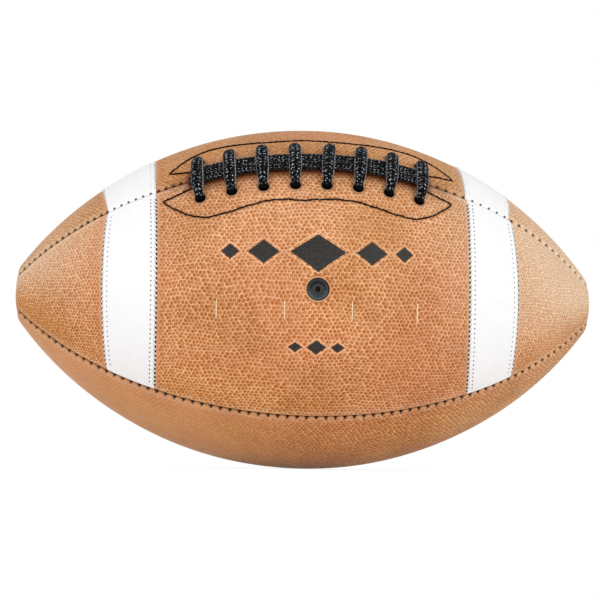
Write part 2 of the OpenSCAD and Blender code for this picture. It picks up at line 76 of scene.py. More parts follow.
class LacingForm(bpy.types.PropertyGroup):
    """The hand-laced opening, in millimetres"""
    bars: IntProperty(name="Cross laces", description="Number of cross laces", default=8)
    pitch: FloatProperty(name="Pitch", description="From one cross lace to the next, in mm", default=14.8)
    shift: FloatProperty(name="Shift", description="How far the row sits off the middle, in mm", default=-2.8)
    hole_at: FloatProperty(name="Hole place", description="From the seam to a hole's middle, in mm", default=13.2)
    hole: FloatProperty(name="Hole", description="Diameter of a lace hole, in mm", default=5.0)
    width: FloatProperty(name="Lace width", description="Width of a cross lace, in mm", default=6.3)
    thick: FloatProperty(name="Lace thickness", description="Thickness of the lace, in mm", default=2.6)
    strand: FloatProperty(name="Strand width", description="Width of a running strand, in mm", default=4.9)
    pinch: FloatProperty(name="Pinched width", description="Width of the lace in a hole, in mm", default=4.1)
    air: FloatProperty(name="Air", description="Between lengths of lace that pass, in mm", default=0.5)
    lift: FloatProperty(name="Strand lift", description="Height of the strands' middle, in mm", default=2.1)
    swell: FloatProperty(name="Swell", description="How far the ball swells under the lacing, in mm", default=2.3)
    swell_length: FloatProperty(name="Swell length", description="Half length of the swelling, in mm", default=54.0)
    swell_width: FloatProperty(name="Swell width", description="Half width of the swelling, in mm", default=30.0)
    braid_step: FloatProperty(name="Braid step", description="Along the lace from one crossing to the next, in mm",
                              default=1.9)
    braid_depth: FloatProperty(name="Braid depth", description="Height of the braid's strands, in mm", default=0.5)


class StripeForm(bpy.types.PropertyGroup):
    """The white stripes and their sewing, in millimetres"""
    start: FloatProperty(name="Start", description="From the middle of the ball to a stripe, in mm", default=74.6)
    width: FloatProperty(name="Width", description="Width of a stripe at its middle, in mm", default=25.0)
    shift: FloatProperty(name="Shift", description="How far all four sit to the right, in mm", default=-1.0)
    lean_left: FloatProperty(name="Lean, left", description="How far right the front left one's foot sits, in mm",
                             default=1.1)
    lean_right: FloatProperty(name="Lean, right", description="The same on the right", default=2.05)
    step_right: FloatProperty(name="Step, right", description="From the top right stripe to the front one, in mm",
                              default=0.8)
    taper: FloatProperty(name="Taper", description="How much narrower a stripe is at a seam, in mm", default=2.6)
    proud: FloatProperty(name="Proud", description="Height above the leather, in mm", default=0.35)
    inset: FloatProperty(name="Stitch inset", description="From an edge to the stitch row, in mm", default=2.5)
    stitch: FloatProperty(name="Stitch pitch", description="Distance between stitches, in mm", default=2.33)


class Finish(bpy.types.PropertyGroup):
    """Colours as sRGB hex values and the leather's grain"""
    pebble_pitch: FloatProperty(name="Pebble pitch", description="Between pebbles at the belly, in mm", default=2.05)
    pebble_fine: FloatProperty(name="Finer tips", description="Share by which pebbles shrink at a tip", default=0.28)
    net: StringProperty(name="Leather between pebbles", description="Colour of the low net", default="FFC794")
    pebble: StringProperty(name="Pebble", description="Colour of the pebble tops", default="BC6A2C")
    # pale: the colour of rubbed leather, and also of light painted on the right tip and the upper side
    pale: StringProperty(name="Worn leather and painted light", description="Colour where hands rub it", default="FFE2C0")
    brown: StringProperty(name="Under side", description="Colour of the lower panel", default="FFCC84")
    tan: StringProperty(name="Upper side", description="Colour of the upper panel", default="E6B578")
    cloud: StringProperty(name="Cloudy tan", description="Colour where the tan took deeper", default="D08A50")
    olive: StringProperty(name="Cloudy upper side", description="The same on the upper panel", default="A67C44")
    golden: StringProperty(name="Golden tan", description="Colour where the hue drifts warm", default="E0A04C")
    rosy: StringProperty(name="Rosy tan", description="Colour where the hue drifts rosy", default="E29A74")
    deep_tan: StringProperty(name="Pores", description="Colour of the pores and darkest pebbles", default="944F1C")
    # painted shade: the near-black laid in the seams' creases, the stitch holes, the lace and valve holes, and under
    # the lace
    recess_shade: StringProperty(name="Seam", description="Colour deep in a seam or hole", default="1E110A")
    # painted shade: the brown laid beside and under the lace, beside the seams, in the stitch groove, round the lace
    # and valve holes, beside the stripes' edges and over parts of the bottom panel
    shade: StringProperty(name="Brown painted shade", description="Colour of the leather beside the lace", default="7E3F1E")
    white: StringProperty(name="Stripe", description="Colour of the stripes", default="F7F7F8")
    black: StringProperty(name="Lace", description="Colour of the lace and thread", default="08080A")
    rubber: StringProperty(name="Valve", description="Colour of the valve rubber", default="3F4B52")


class StageForm(bpy.types.PropertyGroup):
    """Camera fitted to the photograph, and the soft studio round it"""
    yaw: FloatProperty(name="Yaw", description="Camera round the ball, in degrees", default=-4.37)
    pitch: FloatProperty(name="Pitch", description="Camera above the middle, in degrees", default=-3.52)
    roll: FloatProperty(name="Roll", description="Camera about its own axis, in degrees", default=0.98)
    distance: FloatProperty(name="Distance", description="Camera to the ball's middle, in mm", default=1315.0)
    across: FloatProperty(name="Across", description="Camera to the right, in mm", default=-1.96)
    up: FloatProperty(name="Up", description="Camera upwards, in mm", default=-0.04)
    lens: FloatProperty(name="Lens", description="Focal length on a 36 mm sensor, in mm", default=158.8)
    soft: FloatProperty(name="Sky", description="Strength of the even light from all round", default=0.81)
    key: FloatProperty(name="Key lamp", description="Right lamp, in watts", default=5.3)
    fill: FloatProperty(name="Fill lamp", description="Left lamp, in watts", default=4.2)
    low: FloatProperty(name="Low lamp", description="Lamp near the floor, in watts", default=2.0)
    shade: FloatVectorProperty(name="Floor", description="Colour of the floor", size=3, default=(0.94, 0.94, 0.94),
                               subtype="COLOR")


# ---- The ball's form ----

Arcs = namedtuple("Arcs", "big offset shoulder tip_x first second to_first to_second to_tip")


def arcs():
    """The outline's three arcs in mm: the belly's radius and how far its centre lies beyond the
    axis, the place of the shoulder's centre, the place of the flattened tip's centre, the two
    angles where the arcs meet, and the lengths along the outline to each meeting and to the tip.
    The shoulder touches the other two from inside, so its centre is where two circles cross:
    round their centres, each less by the shoulder's radius."""
    f = bpy.context.scene.ball_form
    belly, nose_x, tip_x = f.belly / 2, f.length / 2 + f.press - f.nose, f.length / 2 - f.tip
    big = (nose_x ** 2 + belly ** 2 - f.nose ** 2) / (2 * (belly - f.nose))
    offset = big - belly
    a, b, span = big - f.shoulder, f.tip - f.shoulder, math.hypot(tip_x, offset)
    run = (a * a - b * b + span * span) / (2 * span)
    beside = math.sqrt(a * a - run * run)
    x = (run * tip_x + beside * offset) / span
    r = (run * offset - beside * tip_x) / span - offset
    first, second = math.atan2(x, r + offset), math.atan2(x - tip_x, r)
    to_first = big * first
    to_second = to_first + f.shoulder * (second - first)
    to_tip = to_second + f.tip * (math.pi / 2 - second)
    return Arcs(big, offset, (x, r), tip_x, first, second, to_first, to_second, to_tip)


def outline(s):
    """Place along the ball, radius and outward slope at a distance s along the outline from the
    middle: the angle grows by s over the radius of the arc that s lies on."""
    f = bpy.context.scene.ball_form
    big, offset, (sx, sr), tip_x, first, second, s1, s2, _ = arcs()
    side, a = np.sign(s), np.abs(s)
    pick = [a <= s1, a <= s2]
    turn = np.select(pick, [a / big, first + (a - s1) / f.shoulder], second + (a - s2) / f.tip)
    x = np.select(pick, [big * np.sin(turn), sx + f.shoulder * np.sin(turn)], tip_x + f.tip * np.sin(turn))
    r = np.select(pick, [big * np.cos(turn) - offset, sr + f.shoulder * np.cos(turn)], f.tip * np.cos(turn))
    return side * x, np.maximum(r, 1e-4), side * np.sin(turn), np.cos(turn)


def along_of(x):
    """Distance along the outline at a place x on the belly: the arc's radius times its angle."""
    big = arcs().big
    return big * np.arcsin(np.asarray(x, float) / big)


def at_clock(x, r, clock):
    """Points at radius r, turned a clock angle in radians from the top towards the front."""
    return np.stack([x + 0 * clock, -r * np.sin(clock), r * np.cos(clock)], -1)


def over_seam(points):
    """Turns points drawn with Z out through the top to the laced seam's clock angle."""
    c, s = math.cos(math.radians(LACED_SEAM)), math.sin(math.radians(LACED_SEAM))
    return points @ np.array([[1, 0, 0], [0, c, -s], [0, s, c]]).T


def swelling(x, y):
    """Height of the swelling under the lacing at x along the ball and y from the seam's plane:
    flat topped along the ball, e to the minus fourth power, and a bell across it."""
    lace = bpy.context.scene.lacing_form
    return lace.swell * np.exp(-((x - lace.shift) / lace.swell_length) ** 4 - (y / lace.swell_width) ** 2)


def over_top(x, y, h):
    """Point at x along the ball, y square to the plane through its top and h above the leather,
    with the leather's normal there: the normal is the direction from the belly arc's centre."""
    big, offset = arcs()[:2]
    r = np.sqrt(big ** 2 - x ** 2) - offset
    up = (r + offset) / big
    root = np.sqrt(r ** 2 - y ** 2)
    normal = np.stack([x / big, up * y / r, up * root / r], -1)
    return np.stack([x, y, root], -1) + (h + swelling(x, y))[..., None] * normal, normal


def beside_seam(x, y, h):
    """The same beside the laced seam: both are turned to it."""
    return [over_seam(rows) for rows in over_top(x, y, h)]


def smooth(low, high, value):
    """Rises from 0 at low to 1 at high along 3t^2 - 2t^3."""
    t = np.clip((value - low) / (high - low), 0, 1)
    return t * t * (3 - 2 * t)


def bell(distance, wide):
    """Falls from 1 along e to the minus square of the distance over the width."""
    return np.exp(-(distance / wide) ** 2)


def unit(rows):
    """Vectors drawn out to length 1."""
    return rows / np.maximum(np.linalg.norm(rows, axis=-1, keepdims=True), 1e-12)


def turns(segments):
    """Cosines and sines of even angles round a circle, one row each."""
    angle = np.arange(segments)[:, None] * 2 * np.pi / segments
    return np.cos(angle), np.sin(angle)


# How far each upper lace hole leans to the right, from the left one on, in mm
HAND_LEAN = (0.0, 0.0, 0.3, 0.8, 2.6, 2.6, 2.5, 2.1)


def hole_places(side):
    """Places of the lace holes along the ball, below (-1) or above (1) the seam: an even row, where
    the upper holes of the hand-laced row lean a little along it."""
    lace = bpy.context.scene.lacing_form
    even = lace.shift + (np.arange(lace.bars) - (lace.bars - 1) / 2) * lace.pitch
    return even + (np.resize(HAND_LEAN, lace.bars) if side > 0 else 0)


def roll_depth(d, width):
    """How far a panel turns down at a distance d from its seam: a quarter circle of the roll's
    radius, smaller where the panel narrows at a tip."""
    roll = np.minimum(bpy.context.scene.ball_form.roll, 0.45 * width)
    return np.where(d < roll, roll - np.sqrt(np.maximum(roll ** 2 - (roll - d) ** 2, 0)), 0)


def seam_pitch(clock, s):
    """Distance between stitches in the seam at a clock angle, at s along the outline: the laced
    seam is sewn from each tip by hand, with its own stitch."""
    f = bpy.context.scene.ball_form
    laced = clock % 360 == LACED_SEAM
    return np.where(s < 0, f.laced_left, f.laced_right) if laced else f.stitch_pitch + 0 * s


def off_stitch(s, pitch):
    """Distance along a seam from the nearest stitch, which lies half a pitch past each whole one."""
    return np.abs((s / pitch) % 1 - 0.5) * pitch


def stitch_hole(s, d, pitch):
    """From 0 to 1 where the leather dips at a seam stitch: a triangle that is 2.6 mm wide on the
    seam and would come to a point 2.6 mm away, soft at its sides and cut off softly at 2.4 mm."""
    wide, point, cut, blur, end_blur = 2.6, 2.6, 2.4, 0.22, 0.5
    half = wide / 2 * (1 - d / point)
    return smooth(half + blur, half - blur, off_stitch(s, pitch)) * smooth(cut, cut - end_blur, d)


# Stitches fade out between these radii of the ball, in mm, towards a tip
TIP_FADE = (4, 9)


def panel_skin(s, share, clock, holes=(0, 0)):
    """Outer face of a panel on a grid: s along the outline, share from one seam (0) to the next (1).
    The radius is the outline's and the swelling's, less the roll and the pull of the thread at each
    seam, the stitch holes and a slow unevenness of 0.1 mm. Returns the points and the distances
    from the two seams."""
    f = bpy.context.scene.ball_form
    x, r, nx, nr = outline(s)
    wide = r * np.pi / 2
    first, last = share * wide, (1 - share) * wide
    near, fade = np.minimum(first, last), smooth(*TIP_FADE, r)
    # how far the thread pulls a seam in, how far from it that fades, and the unevenness, in mm
    pull, pull_reach, uneven = 0.35, 3.5, 0.10
    depth = roll_depth(near, wide / 2) + pull * fade * np.exp(-near / pull_reach)
    for amount, d, seam in zip(holes, (first, last), (clock, clock + 90)):
        depth = depth + amount * fade * f.pucker * stitch_hole(s, d, seam_pitch(seam, s))
    depth = depth + uneven * np.sin(s / 21 + 5 * share) * np.sin(3 * share + s / 37) * smooth(2, 12, near)
    angle = np.radians(clock) + share * np.pi / 2
    apart = (angle - np.radians(LACED_SEAM) + np.pi) % (2 * np.pi) - np.pi
    depth = depth - np.where(np.abs(apart) < np.pi / 2, swelling(x, r * np.sin(apart)), 0)
    return at_clock(x - depth * nx, np.maximum(r - depth * nr, 0), angle), first, last


def pebble_place(s, a):
    """Leather's own coordinates, in pebbles: s over the local pitch, summed along the outline, and
    the distance a across it over the local pitch. The pitch falls with the square of s."""
    look = bpy.context.scene.finish
    end = arcs().to_tip
    root, q = math.sqrt(look.pebble_fine), s / end
    return np.stack([end / (look.pebble_pitch * root) * np.arctanh(root * q),
                     a / (look.pebble_pitch * (1 - look.pebble_fine * q * q))], -1)


def grid_normals(points):
    """Outward normals of a grid of points: the cross product of its two directions."""
    n = unit(np.cross(np.gradient(points, axis=0), np.gradient(points, axis=1)))
    middle = points.shape[0] // 2, points.shape[1] // 2
    return n if n[middle] @ (points[middle] * [0.2, 1, 1]) > 0 else -n


# ---- Meshes ----

def quads(rows, columns, closed=False):
    """Corner numbers of the quads of a grid, whose columns join round where it is closed."""
    i = np.arange(rows - 1)[:, None]
    j = np.arange(columns if closed else columns - 1)[None, :]
    i2, j2 = i + 1, (j + 1) % columns
    return np.stack([i * columns + j, i2 * columns + j, i2 * columns + j2, i * columns + j2], -1).reshape(-1, 4)


def copies(faces, count, size):
    """The faces of one grid, for each of many grids of that many points."""
    return (faces[None] + np.arange(count)[:, None, None] * size).reshape(-1, 4)


def put_mesh(name, points, faces, caps=(), uv=None, marks=None, flip=False):
    """Makes an object of points in mm and quads, with a UV map and named values, each as a value
    for all points or one for each."""
    points = np.asarray(points, float)
    shape = points.shape[:-1]
    if flip:
        faces, caps = faces[:, ::-1], [cap[::-1] for cap in caps]
    loops = np.concatenate([faces.ravel(), *caps]).astype(np.int32)
    sizes = np.concatenate([np.full(len(faces), 4), [len(cap) for cap in caps]]).astype(np.int32)
    mesh = bpy.data.meshes.new(name)
    mesh.vertices.add(points.size // 3)
    mesh.vertices.foreach_set("co", (points * MM).astype(np.float32).ravel())
    mesh.loops.add(len(loops))
    mesh.loops.foreach_set("vertex_index", loops)
    mesh.polygons.add(len(sizes))
    mesh.polygons.foreach_set("loop_start", np.concatenate([[0], np.cumsum(sizes)[:-1]]).astype(np.int32))
    mesh.polygons.foreach_set("use_smooth", np.ones(len(sizes), bool))
    mesh.update(calc_edges=True)
    if uv is not None:
        uv = np.broadcast_to(np.asarray(uv, np.float32), (*shape, 2)).reshape(-1, 2)
        mesh.uv_layers.new(name="flat").data.foreach_set("uv", uv[loops].ravel())
    for key, values in (marks or {}).items():
        values = np.broadcast_to(np.asarray(values, np.float32), shape).ravel()
        mesh.attributes.new(key, "FLOAT", "POINT").data.foreach_set("value", values)
    mesh.validate()
    thing = bpy.data.objects.new(name, mesh)
    bpy.context.scene.collection.objects.link(thing)
    return thing


def finish_piece(thing, key, slot, *nodes):
    """Gives a piece its material and its place in the frame."""
    thing.data.materials.append(material(key))
    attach(thing, "root")
    if nodes:
        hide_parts(*nodes)


def slab(name, top, bottom, uv, marks):
    """A closed sheet between two grids with the same rows: each row is a loop over the top and back
    under the bottom, and the first and last loops are closed by caps."""
    rows, columns = top.shape[:2]
    under = np.linspace(columns - 1, 0, bottom.shape[1]).astype(int)
    loop = np.concatenate([top, bottom[:, ::-1]], 1)
    n = loop.shape[1]
    uv = np.concatenate([uv, uv[:, under]], 1)
    marks = {key: np.concatenate([values, values[:, under]], 1) for key, values in marks.items()}
    ends = [np.arange(n), np.arange((rows - 1) * n, rows * n)[::-1]]
    i, j = rows // 2, columns // 2
    inside_out = np.cross(top[i + 1, j] - top[i, j], top[i, j + 1] - top[i, j]) @ grid_normals(top)[i, j] < 0
    return put_mesh(name, loop, quads(rows, n, True), ends, uv, marks, inside_out)


def rounded(t, power, sharp=1.0, least=0.05):
    """Share of a short rod's radius at t from -1 to 1 along it: the root of 1 less a power of t,
    which draws the ends in to small caps."""
    return np.sqrt(np.maximum(1 - sharp * t ** power, least))


def tubes(name, centres, radii, sides=8, **more):
    """Many round rods at once: centres is (rods, stations, 3), with a radius for each station. Each
    ring lies square to the rod, and each end is closed."""
    rods, stations = centres.shape[:2]
    radii = np.broadcast_to(radii, (rods, stations))[:, :, None, None]
    ahead = unit(np.gradient(centres, axis=1))
    a = unit(np.cross(ahead, centres * [0.15, 1, 1]))
    c, s = turns(sides)
    ring = centres[:, :, None] + radii * (c * a[:, :, None] + s * np.cross(a, ahead)[:, :, None])
    first = np.arange(rods)[:, None] * stations * sides + np.arange(sides)
    caps = [*first, *(first + (stations - 1) * sides)[:, ::-1]]
    return put_mesh(name, ring, copies(quads(stations, sides, True), rods, stations * sides), caps, flip=True, **more)


def turned(name, profile, centre, axis, side, segments, closed=(False, False), flat=None, **more):
    """A profile of radius and height rows, turned about the axis through each centre, starting at
    the side, which is square to the axis. Says which of its two ends are closed. The UV map, in
    steps of 2 mm, is each point's place along the two rows of flat."""
    centre, axis, side = (np.reshape(rows, (-1, 1, 1, 3)) for rows in (centre, axis, side))
    c, s = turns(segments)
    ring = c * side + s * np.cross(axis, side)
    points = centre + profile[:, 0, None, None] * ring + profile[:, 1, None, None] * axis
    if flat is not None:
        more["uv"] = points @ np.transpose(flat) / 2
    count, rows = points.shape[:2]
    first = np.arange(count)[:, None] * rows * segments + np.arange(segments)
    caps = [*first[:, ::-1]] * closed[0] + [*(first + (rows - 1) * segments)] * closed[1]
    return put_mesh(name, points, copies(quads(rows, segments, True), count, rows * segments), caps, **more)


# ---- Materials ----

# Node types. By number, a Map Range takes its value at 0, the range it comes from at 1 and 2 and the
# range it goes to at 3 and 4, and a Mix takes its share at 0 and its two colours at 6 and 7.
MATH, VECTOR, RANGE, MIX = "ShaderNodeMath", "ShaderNodeVectorMath", "ShaderNodeMapRange", "ShaderNodeMix"
NOISE, CELLS, WAVES, BUMP = "ShaderNodeTexNoise", "ShaderNodeTexVoronoi", "ShaderNodeTexWave", "ShaderNodeBump"
FLAT, PLACE, MARK, BLEND = "ShaderNodeUVMap", "ShaderNodeTexCoord", "ShaderNodeAttribute", "ShaderNodeMixShader"
SHADER, SURFACE, RAYS = "ShaderNodeBsdfPrincipled", "ShaderNodeOutputMaterial", "ShaderNodeLightPath"

# Lesser colours of the materials, as sRGB hex values
# the coat's soil, then painted shade: a little grey between the pebbles, near-black in the creases
COAT_SOIL, COAT_PEBBLE_SHADE, COAT_CREASE_SHADE = "EEEEF0", "E0E0E4", "1D1712"
# painted shade between the braid's strands, and the braid's glint
BRAID_GAP_SHADE, BRAID_GLINT = "010101", "D8DADE"
# the plug's face, and the near-black of painted shade in the rubber's gaps and holes
PLUG_FACE, RUBBER_DARK_AND_SHADE = "2B231E", "0A0A0B"
INK, INK_WORN = "100D0B", "3B2C22"


def linear(code):
    """sRGB hex to a linear colour."""
    c = np.array([int(code[i:i + 2], 16) for i in (0, 2, 4)]) / 255
    c = np.where(c <= 0.04045, c / 12.92, ((c + 0.055) / 1.055) ** 2.4)
    return (*c.tolist(), 1.0)


def add(tree, kind, feeds=(), **settings):
    """Adds a node, sets its properties, and gives each named or numbered input its value, its hex
    colour, or the socket or node that feeds it."""
    node = tree.nodes.new(kind)
    for key, value in settings.items():
        setattr(node, key, value)
    for socket, value in dict(feeds).items():
        if isinstance(value, bpy.types.Node):
            value = value.outputs[2 if value.bl_idname == MIX else 0]
        if isinstance(value, bpy.types.NodeSocket):
            tree.links.new(value, node.inputs[socket])
        else:
            node.inputs[socket].default_value = linear(value) if isinstance(value, str) else value
    return node


def new_material(name):
    """An empty node material and its tree."""
    mat = bpy.data.materials.new(name)
    mat.use_nodes = True
    mat.node_tree.nodes.clear()
    return mat, mat.node_tree


def surfaced(mat, feeds):
    """Gives a material its shader, with these feeds, and its output."""
    add(mat.node_tree, SURFACE, {"Surface": add(mat.node_tree, SHADER, feeds)})
    return mat


def pebbled_leather():
    """Tanned cowhide pressed with pebbles: rounded dark tops in a pale net, satin, paler where hands rub it
    and where light is painted on the right tip and the upper side, darker with painted shade in and beside
    the seams, holes and lace, and cloudy where the tan took unevenly. The UV map counts pebbles."""
    look = bpy.context.scene.finish
    mat, tree = new_material("pebbled_leather")
    flat = add(tree, FLAT, uv_map="flat")
    place = add(tree, PLACE).outputs["Object"]
    tone, wear_and_light, dark, shade, plain, warm = (add(tree, MARK, attribute_name=key).outputs["Fac"]
                                            for key in ("tone", "wear_and_light", "dark", "shade", "plain", "warm"))
    # rows that wander by up to a pebble
    wander = add(tree, NOISE, {"Vector": flat, "Scale": 0.10, "Detail": 1.0}, noise_dimensions="2D")
    drift = add(tree, VECTOR, {0: wander.outputs["Color"], "Scale": 1.9}, operation="SCALE")
    moved = add(tree, VECTOR, {0: flat, 1: drift}, operation="ADD")
    # staggered pebbles: two grids of cells 1 wide and root 3 high, the second half a cell on
    root, stray = math.sqrt(3), 0.2
    narrow = add(tree, VECTOR, {0: moved, 1: (1.0, 1 / root, 0.0)}, operation="MULTIPLY")
    apart, chance = [], []
    for shift in ((0.0, 0.0, 0.0), (0.5, 0.5, 1.0)):
        cell = add(tree, VECTOR, {0: narrow, 1: shift}, operation="ADD")
        number = add(tree, VECTOR, {0: cell}, operation="FLOOR")
        inside = add(tree, VECTOR, {0: cell, 1: number}, operation="SUBTRACT")
        luck = add(tree, "ShaderNodeTexWhiteNoise", {"Vector": number}, noise_dimensions="3D")
        middle = add(tree, VECTOR, {0: luck.outputs["Color"], 1: (stray, stray / root, 0.0),
                                    2: ((1 - stray) / 2, (1 - stray / root) / 2, 0.0)}, operation="MULTIPLY_ADD")
        off = add(tree, VECTOR, {0: inside, 1: middle}, operation="SUBTRACT")
        off = add(tree, VECTOR, {0: off, 1: (1.0, root, 0.0)}, operation="MULTIPLY")
        apart.append(add(tree, VECTOR, {0: off}, operation="LENGTH").outputs["Value"])
        chance.append(luck.outputs["Value"])
    nearer = add(tree, MATH, {0: apart[0], 1: apart[1]}, operation="LESS_THAN")
    apart = add(tree, MATH, {0: apart[0], 1: apart[1]}, operation="MINIMUM")
    chance = add(tree, RANGE, {0: nearer, 3: chance[1], 4: chance[0]})
    spot = add(tree, RANGE, {0: apart, 1: 0.52, 2: 0.35}, interpolation_type="SMOOTHSTEP")
    dome = add(tree, RANGE, {0: apart, 1: 0.56, 2: 0.05}, interpolation_type="SMOOTHSTEP")
    # pores three to a pebble, clouds of tan about 40 mm across and drifts of hue about 80 mm across
    grain = add(tree, NOISE, {"Vector": flat, "Scale": 3.4, "Detail": 4.0}, noise_dimensions="2D")
    clouds = add(tree, NOISE, {"Vector": place, "Scale": 26.0, "Detail": 3.0, "Roughness": 0.6})
    hue = add(tree, NOISE, {"Vector": place, "Scale": 13.0, "Detail": 2.0})
    # how dark each pebble is: its own shade, less where the leather is pale from rubbing and painted light, none where
    # the leather is smooth
    own = add(tree, RANGE, {0: chance, 3: 0.70, 4: 1.0})
    rubbed = add(tree, RANGE, {0: wear_and_light, 3: 1.0, 4: 0.50})
    smoothed = add(tree, RANGE, {0: plain, 3: 1.0, 4: 0.0})
    strength = spot
    for share in (own, rubbed, smoothed):
        strength = add(tree, MATH, {0: strength, 1: share}, operation="MULTIPLY")
    # the net between them, layer over layer, and over all the pale of rubbed leather and painted light
    upper = add(tree, RANGE, {0: tone, 1: 0.0, 2: 1.0})
    under = add(tree, RANGE, {0: tone, 1: 0.0, 2: -1.0})
    patch = add(tree, RANGE, {0: clouds, 1: 0.36, 2: 0.64}, interpolation_type="SMOOTHSTEP")
    some = add(tree, MATH, {0: patch, 1: 0.45}, operation="MULTIPLY")
    cloudy = add(tree, MIX, {0: upper, 6: look.cloud, 7: look.olive}, data_type="RGBA")
    hue = add(tree, MATH, {0: warm, 1: 0.16, 2: hue}, operation="MULTIPLY_ADD")
    golden = add(tree, RANGE, {0: hue, 1: 0.50, 2: 0.68, 3: 0.0, 4: 0.60})
    rosy = add(tree, RANGE, {0: hue, 1: 0.46, 2: 0.32, 3: 0.0, 4: 0.50})
    base = look.net
    for share, over in ((upper, look.tan), (under, look.brown), (some, cloudy), (golden, look.golden),
                        (rosy, look.rosy), (wear_and_light, look.pale)):
        base = add(tree, MIX, {0: share, 6: base, 7: over}, data_type="RGBA")
    # the pebbles and pores, then painted shade: brown beside the seams, the lace and the holes, and near-black deep in
    # the seams and holes
    tanned = add(tree, MATH, {0: upper, 1: 0.5}, operation="MULTIPLY")
    spots = add(tree, MIX, {0: some, 6: look.pebble, 7: look.deep_tan}, data_type="RGBA")
    spots = add(tree, MIX, {0: tanned, 6: spots, 7: look.olive}, data_type="RGBA")
    pores = add(tree, RANGE, {0: grain, 1: 0.40, 2: 0.75, 3: 0.0, 4: 0.26})
    for share, over in ((strength, spots), (pores, look.deep_tan), (shade, look.shade), (dark, look.recess_shade)):
        base = add(tree, MIX, {0: share, 6: base, 7: over}, data_type="RGBA")
    gloss = add(tree, RANGE, {0: spot, 3: 0.62, 4: 0.50})
    relief = add(tree, MATH, {0: dome, 1: smoothed}, operation="MULTIPLY")
    relief = add(tree, MATH, {0: grain, 1: 0.3, 2: relief}, operation="MULTIPLY_ADD")
    bump = add(tree, BUMP, {"Height": relief, "Strength": 0.9, "Distance": 0.35 * MM})
    return surfaced(mat, {"Base Color": base, "Roughness": gloss, "Normal": bump, "Specular IOR Level": 0.18})


def coated_leather():
    """Pebbled leather under a white urethane coat: the pebbles show faintly, with a satin gloss."""
    mat, tree = new_material("coated_white_leather")
    flat = add(tree, FLAT, uv_map="flat")
    dark = add(tree, MARK, attribute_name="dark").outputs["Fac"]
    cells = add(tree, CELLS, {"Vector": flat, "Scale": 1.0, "Randomness": 0.6}, voronoi_dimensions="2D")
    soil = add(tree, NOISE, {"Vector": flat, "Scale": 0.35, "Detail": 5.0}, noise_dimensions="2D")
    soiled = add(tree, RANGE, {0: soil, 1: 0.4, 2: 0.7, 3: 0.0, 4: 0.25})
    tops = add(tree, RANGE, {0: cells, 1: 0.1, 2: 0.7, 3: 0.0, 4: 0.05})
    colour = bpy.context.scene.finish.white
    # soil, then painted shade between the pebbles and in the seam's crease and stitch holes
    for share, over in ((soiled, COAT_SOIL), (tops, COAT_PEBBLE_SHADE), (dark, COAT_CREASE_SHADE)):
        colour = add(tree, MIX, {0: share, 6: colour, 7: over}, data_type="RGBA")
    bump = add(tree, BUMP, {"Height": cells, "Strength": 0.12, "Distance": 0.1 * MM})
    return surfaced(mat, {"Base Color": colour, "Roughness": 0.45, "Normal": bump})


def waxed_braid():
    """Waxed polyester braid: near black, with glints on the crowns of its strands and along the
    two edges where the flat braid folds over. The UV map is in millimetres."""
    mat, tree = new_material("waxed_braid")
    crown, edge, deep = (add(tree, MARK, attribute_name=key).outputs["Fac"] for key in ("crown", "edge", "deep"))
    flat = add(tree, FLAT, uv_map="flat")
    fibre = add(tree, NOISE, {"Vector": flat, "Scale": 1.1, "Detail": 2.0}, noise_dimensions="2D")
    fine = add(tree, NOISE, {"Vector": flat, "Scale": 2.2, "Detail": 1.0}, noise_dimensions="2D")
    # glints on the crowns, in flecks; the edges' glints are broken; both end where the lace goes in
    lit = add(tree, RANGE, {0: crown, 1: 0.70, 2: 0.94, 3: 0.0, 4: 0.85})
    sparse = add(tree, RANGE, {0: fibre, 1: 0.53, 2: 0.60}, interpolation_type="SMOOTHSTEP")
    flecks = add(tree, RANGE, {0: fine, 1: 0.46, 2: 0.58, 3: 0.0, 4: 1.0})
    for share in (sparse, flecks):
        lit = add(tree, MATH, {0: lit, 1: share}, operation="MULTIPLY")
    broken = add(tree, RANGE, {0: fine, 1: 0.36, 2: 0.56, 3: 0.10, 4: 0.62})
    rim = add(tree, MATH, {0: edge, 1: broken}, operation="MULTIPLY")
    lit = add(tree, MATH, {0: lit, 1: rim}, operation="MAXIMUM")
    shown = add(tree, RANGE, {0: deep, 3: 1.0, 4: 0.0})
    lit = add(tree, MATH, {0: lit, 1: shown}, operation="MULTIPLY")
    # painted shade: the hollows between the strands blacker than their crowns
    colour = BRAID_GAP_SHADE
    for share, over in ((crown, bpy.context.scene.finish.black), (lit, BRAID_GLINT)):
        colour = add(tree, MIX, {0: share, 6: colour, 7: over}, data_type="RGBA")
    bump = add(tree, BUMP, {"Height": fine, "Strength": 0.4, "Distance": 0.1 * MM})
    return surfaced(mat, {"Base Color": colour, "Roughness": 0.5, "Normal": bump, "Specular IOR Level": 0.05})


def waxed_thread(name, code, hollow_shade):
    """Waxed nylon thread: a dull shine, its twist seen as fine slanting bands 0.75 mm apart, with painted shade in the
    hollows between the bands.
    """
    mat, tree = new_material(name)
    place = add(tree, PLACE).outputs["Object"]
    twist = add(tree, WAVES, {"Vector": place, "Scale": 420.0, "Distortion": 1.0}, bands_direction="DIAGONAL")
    ply = add(tree, RANGE, {0: twist.outputs[1], 1: 0.2, 2: 0.9})
    colour = add(tree, MIX, {0: ply, 6: hollow_shade, 7: code}, data_type="RGBA")
    bump = add(tree, BUMP, {"Height": twist.outputs[1], "Strength": 0.3, "Distance": 0.05 * MM})
    return surfaced(mat, {"Base Color": colour, "Roughness": 0.6, "Normal": bump, "Specular IOR Level": 0.12})


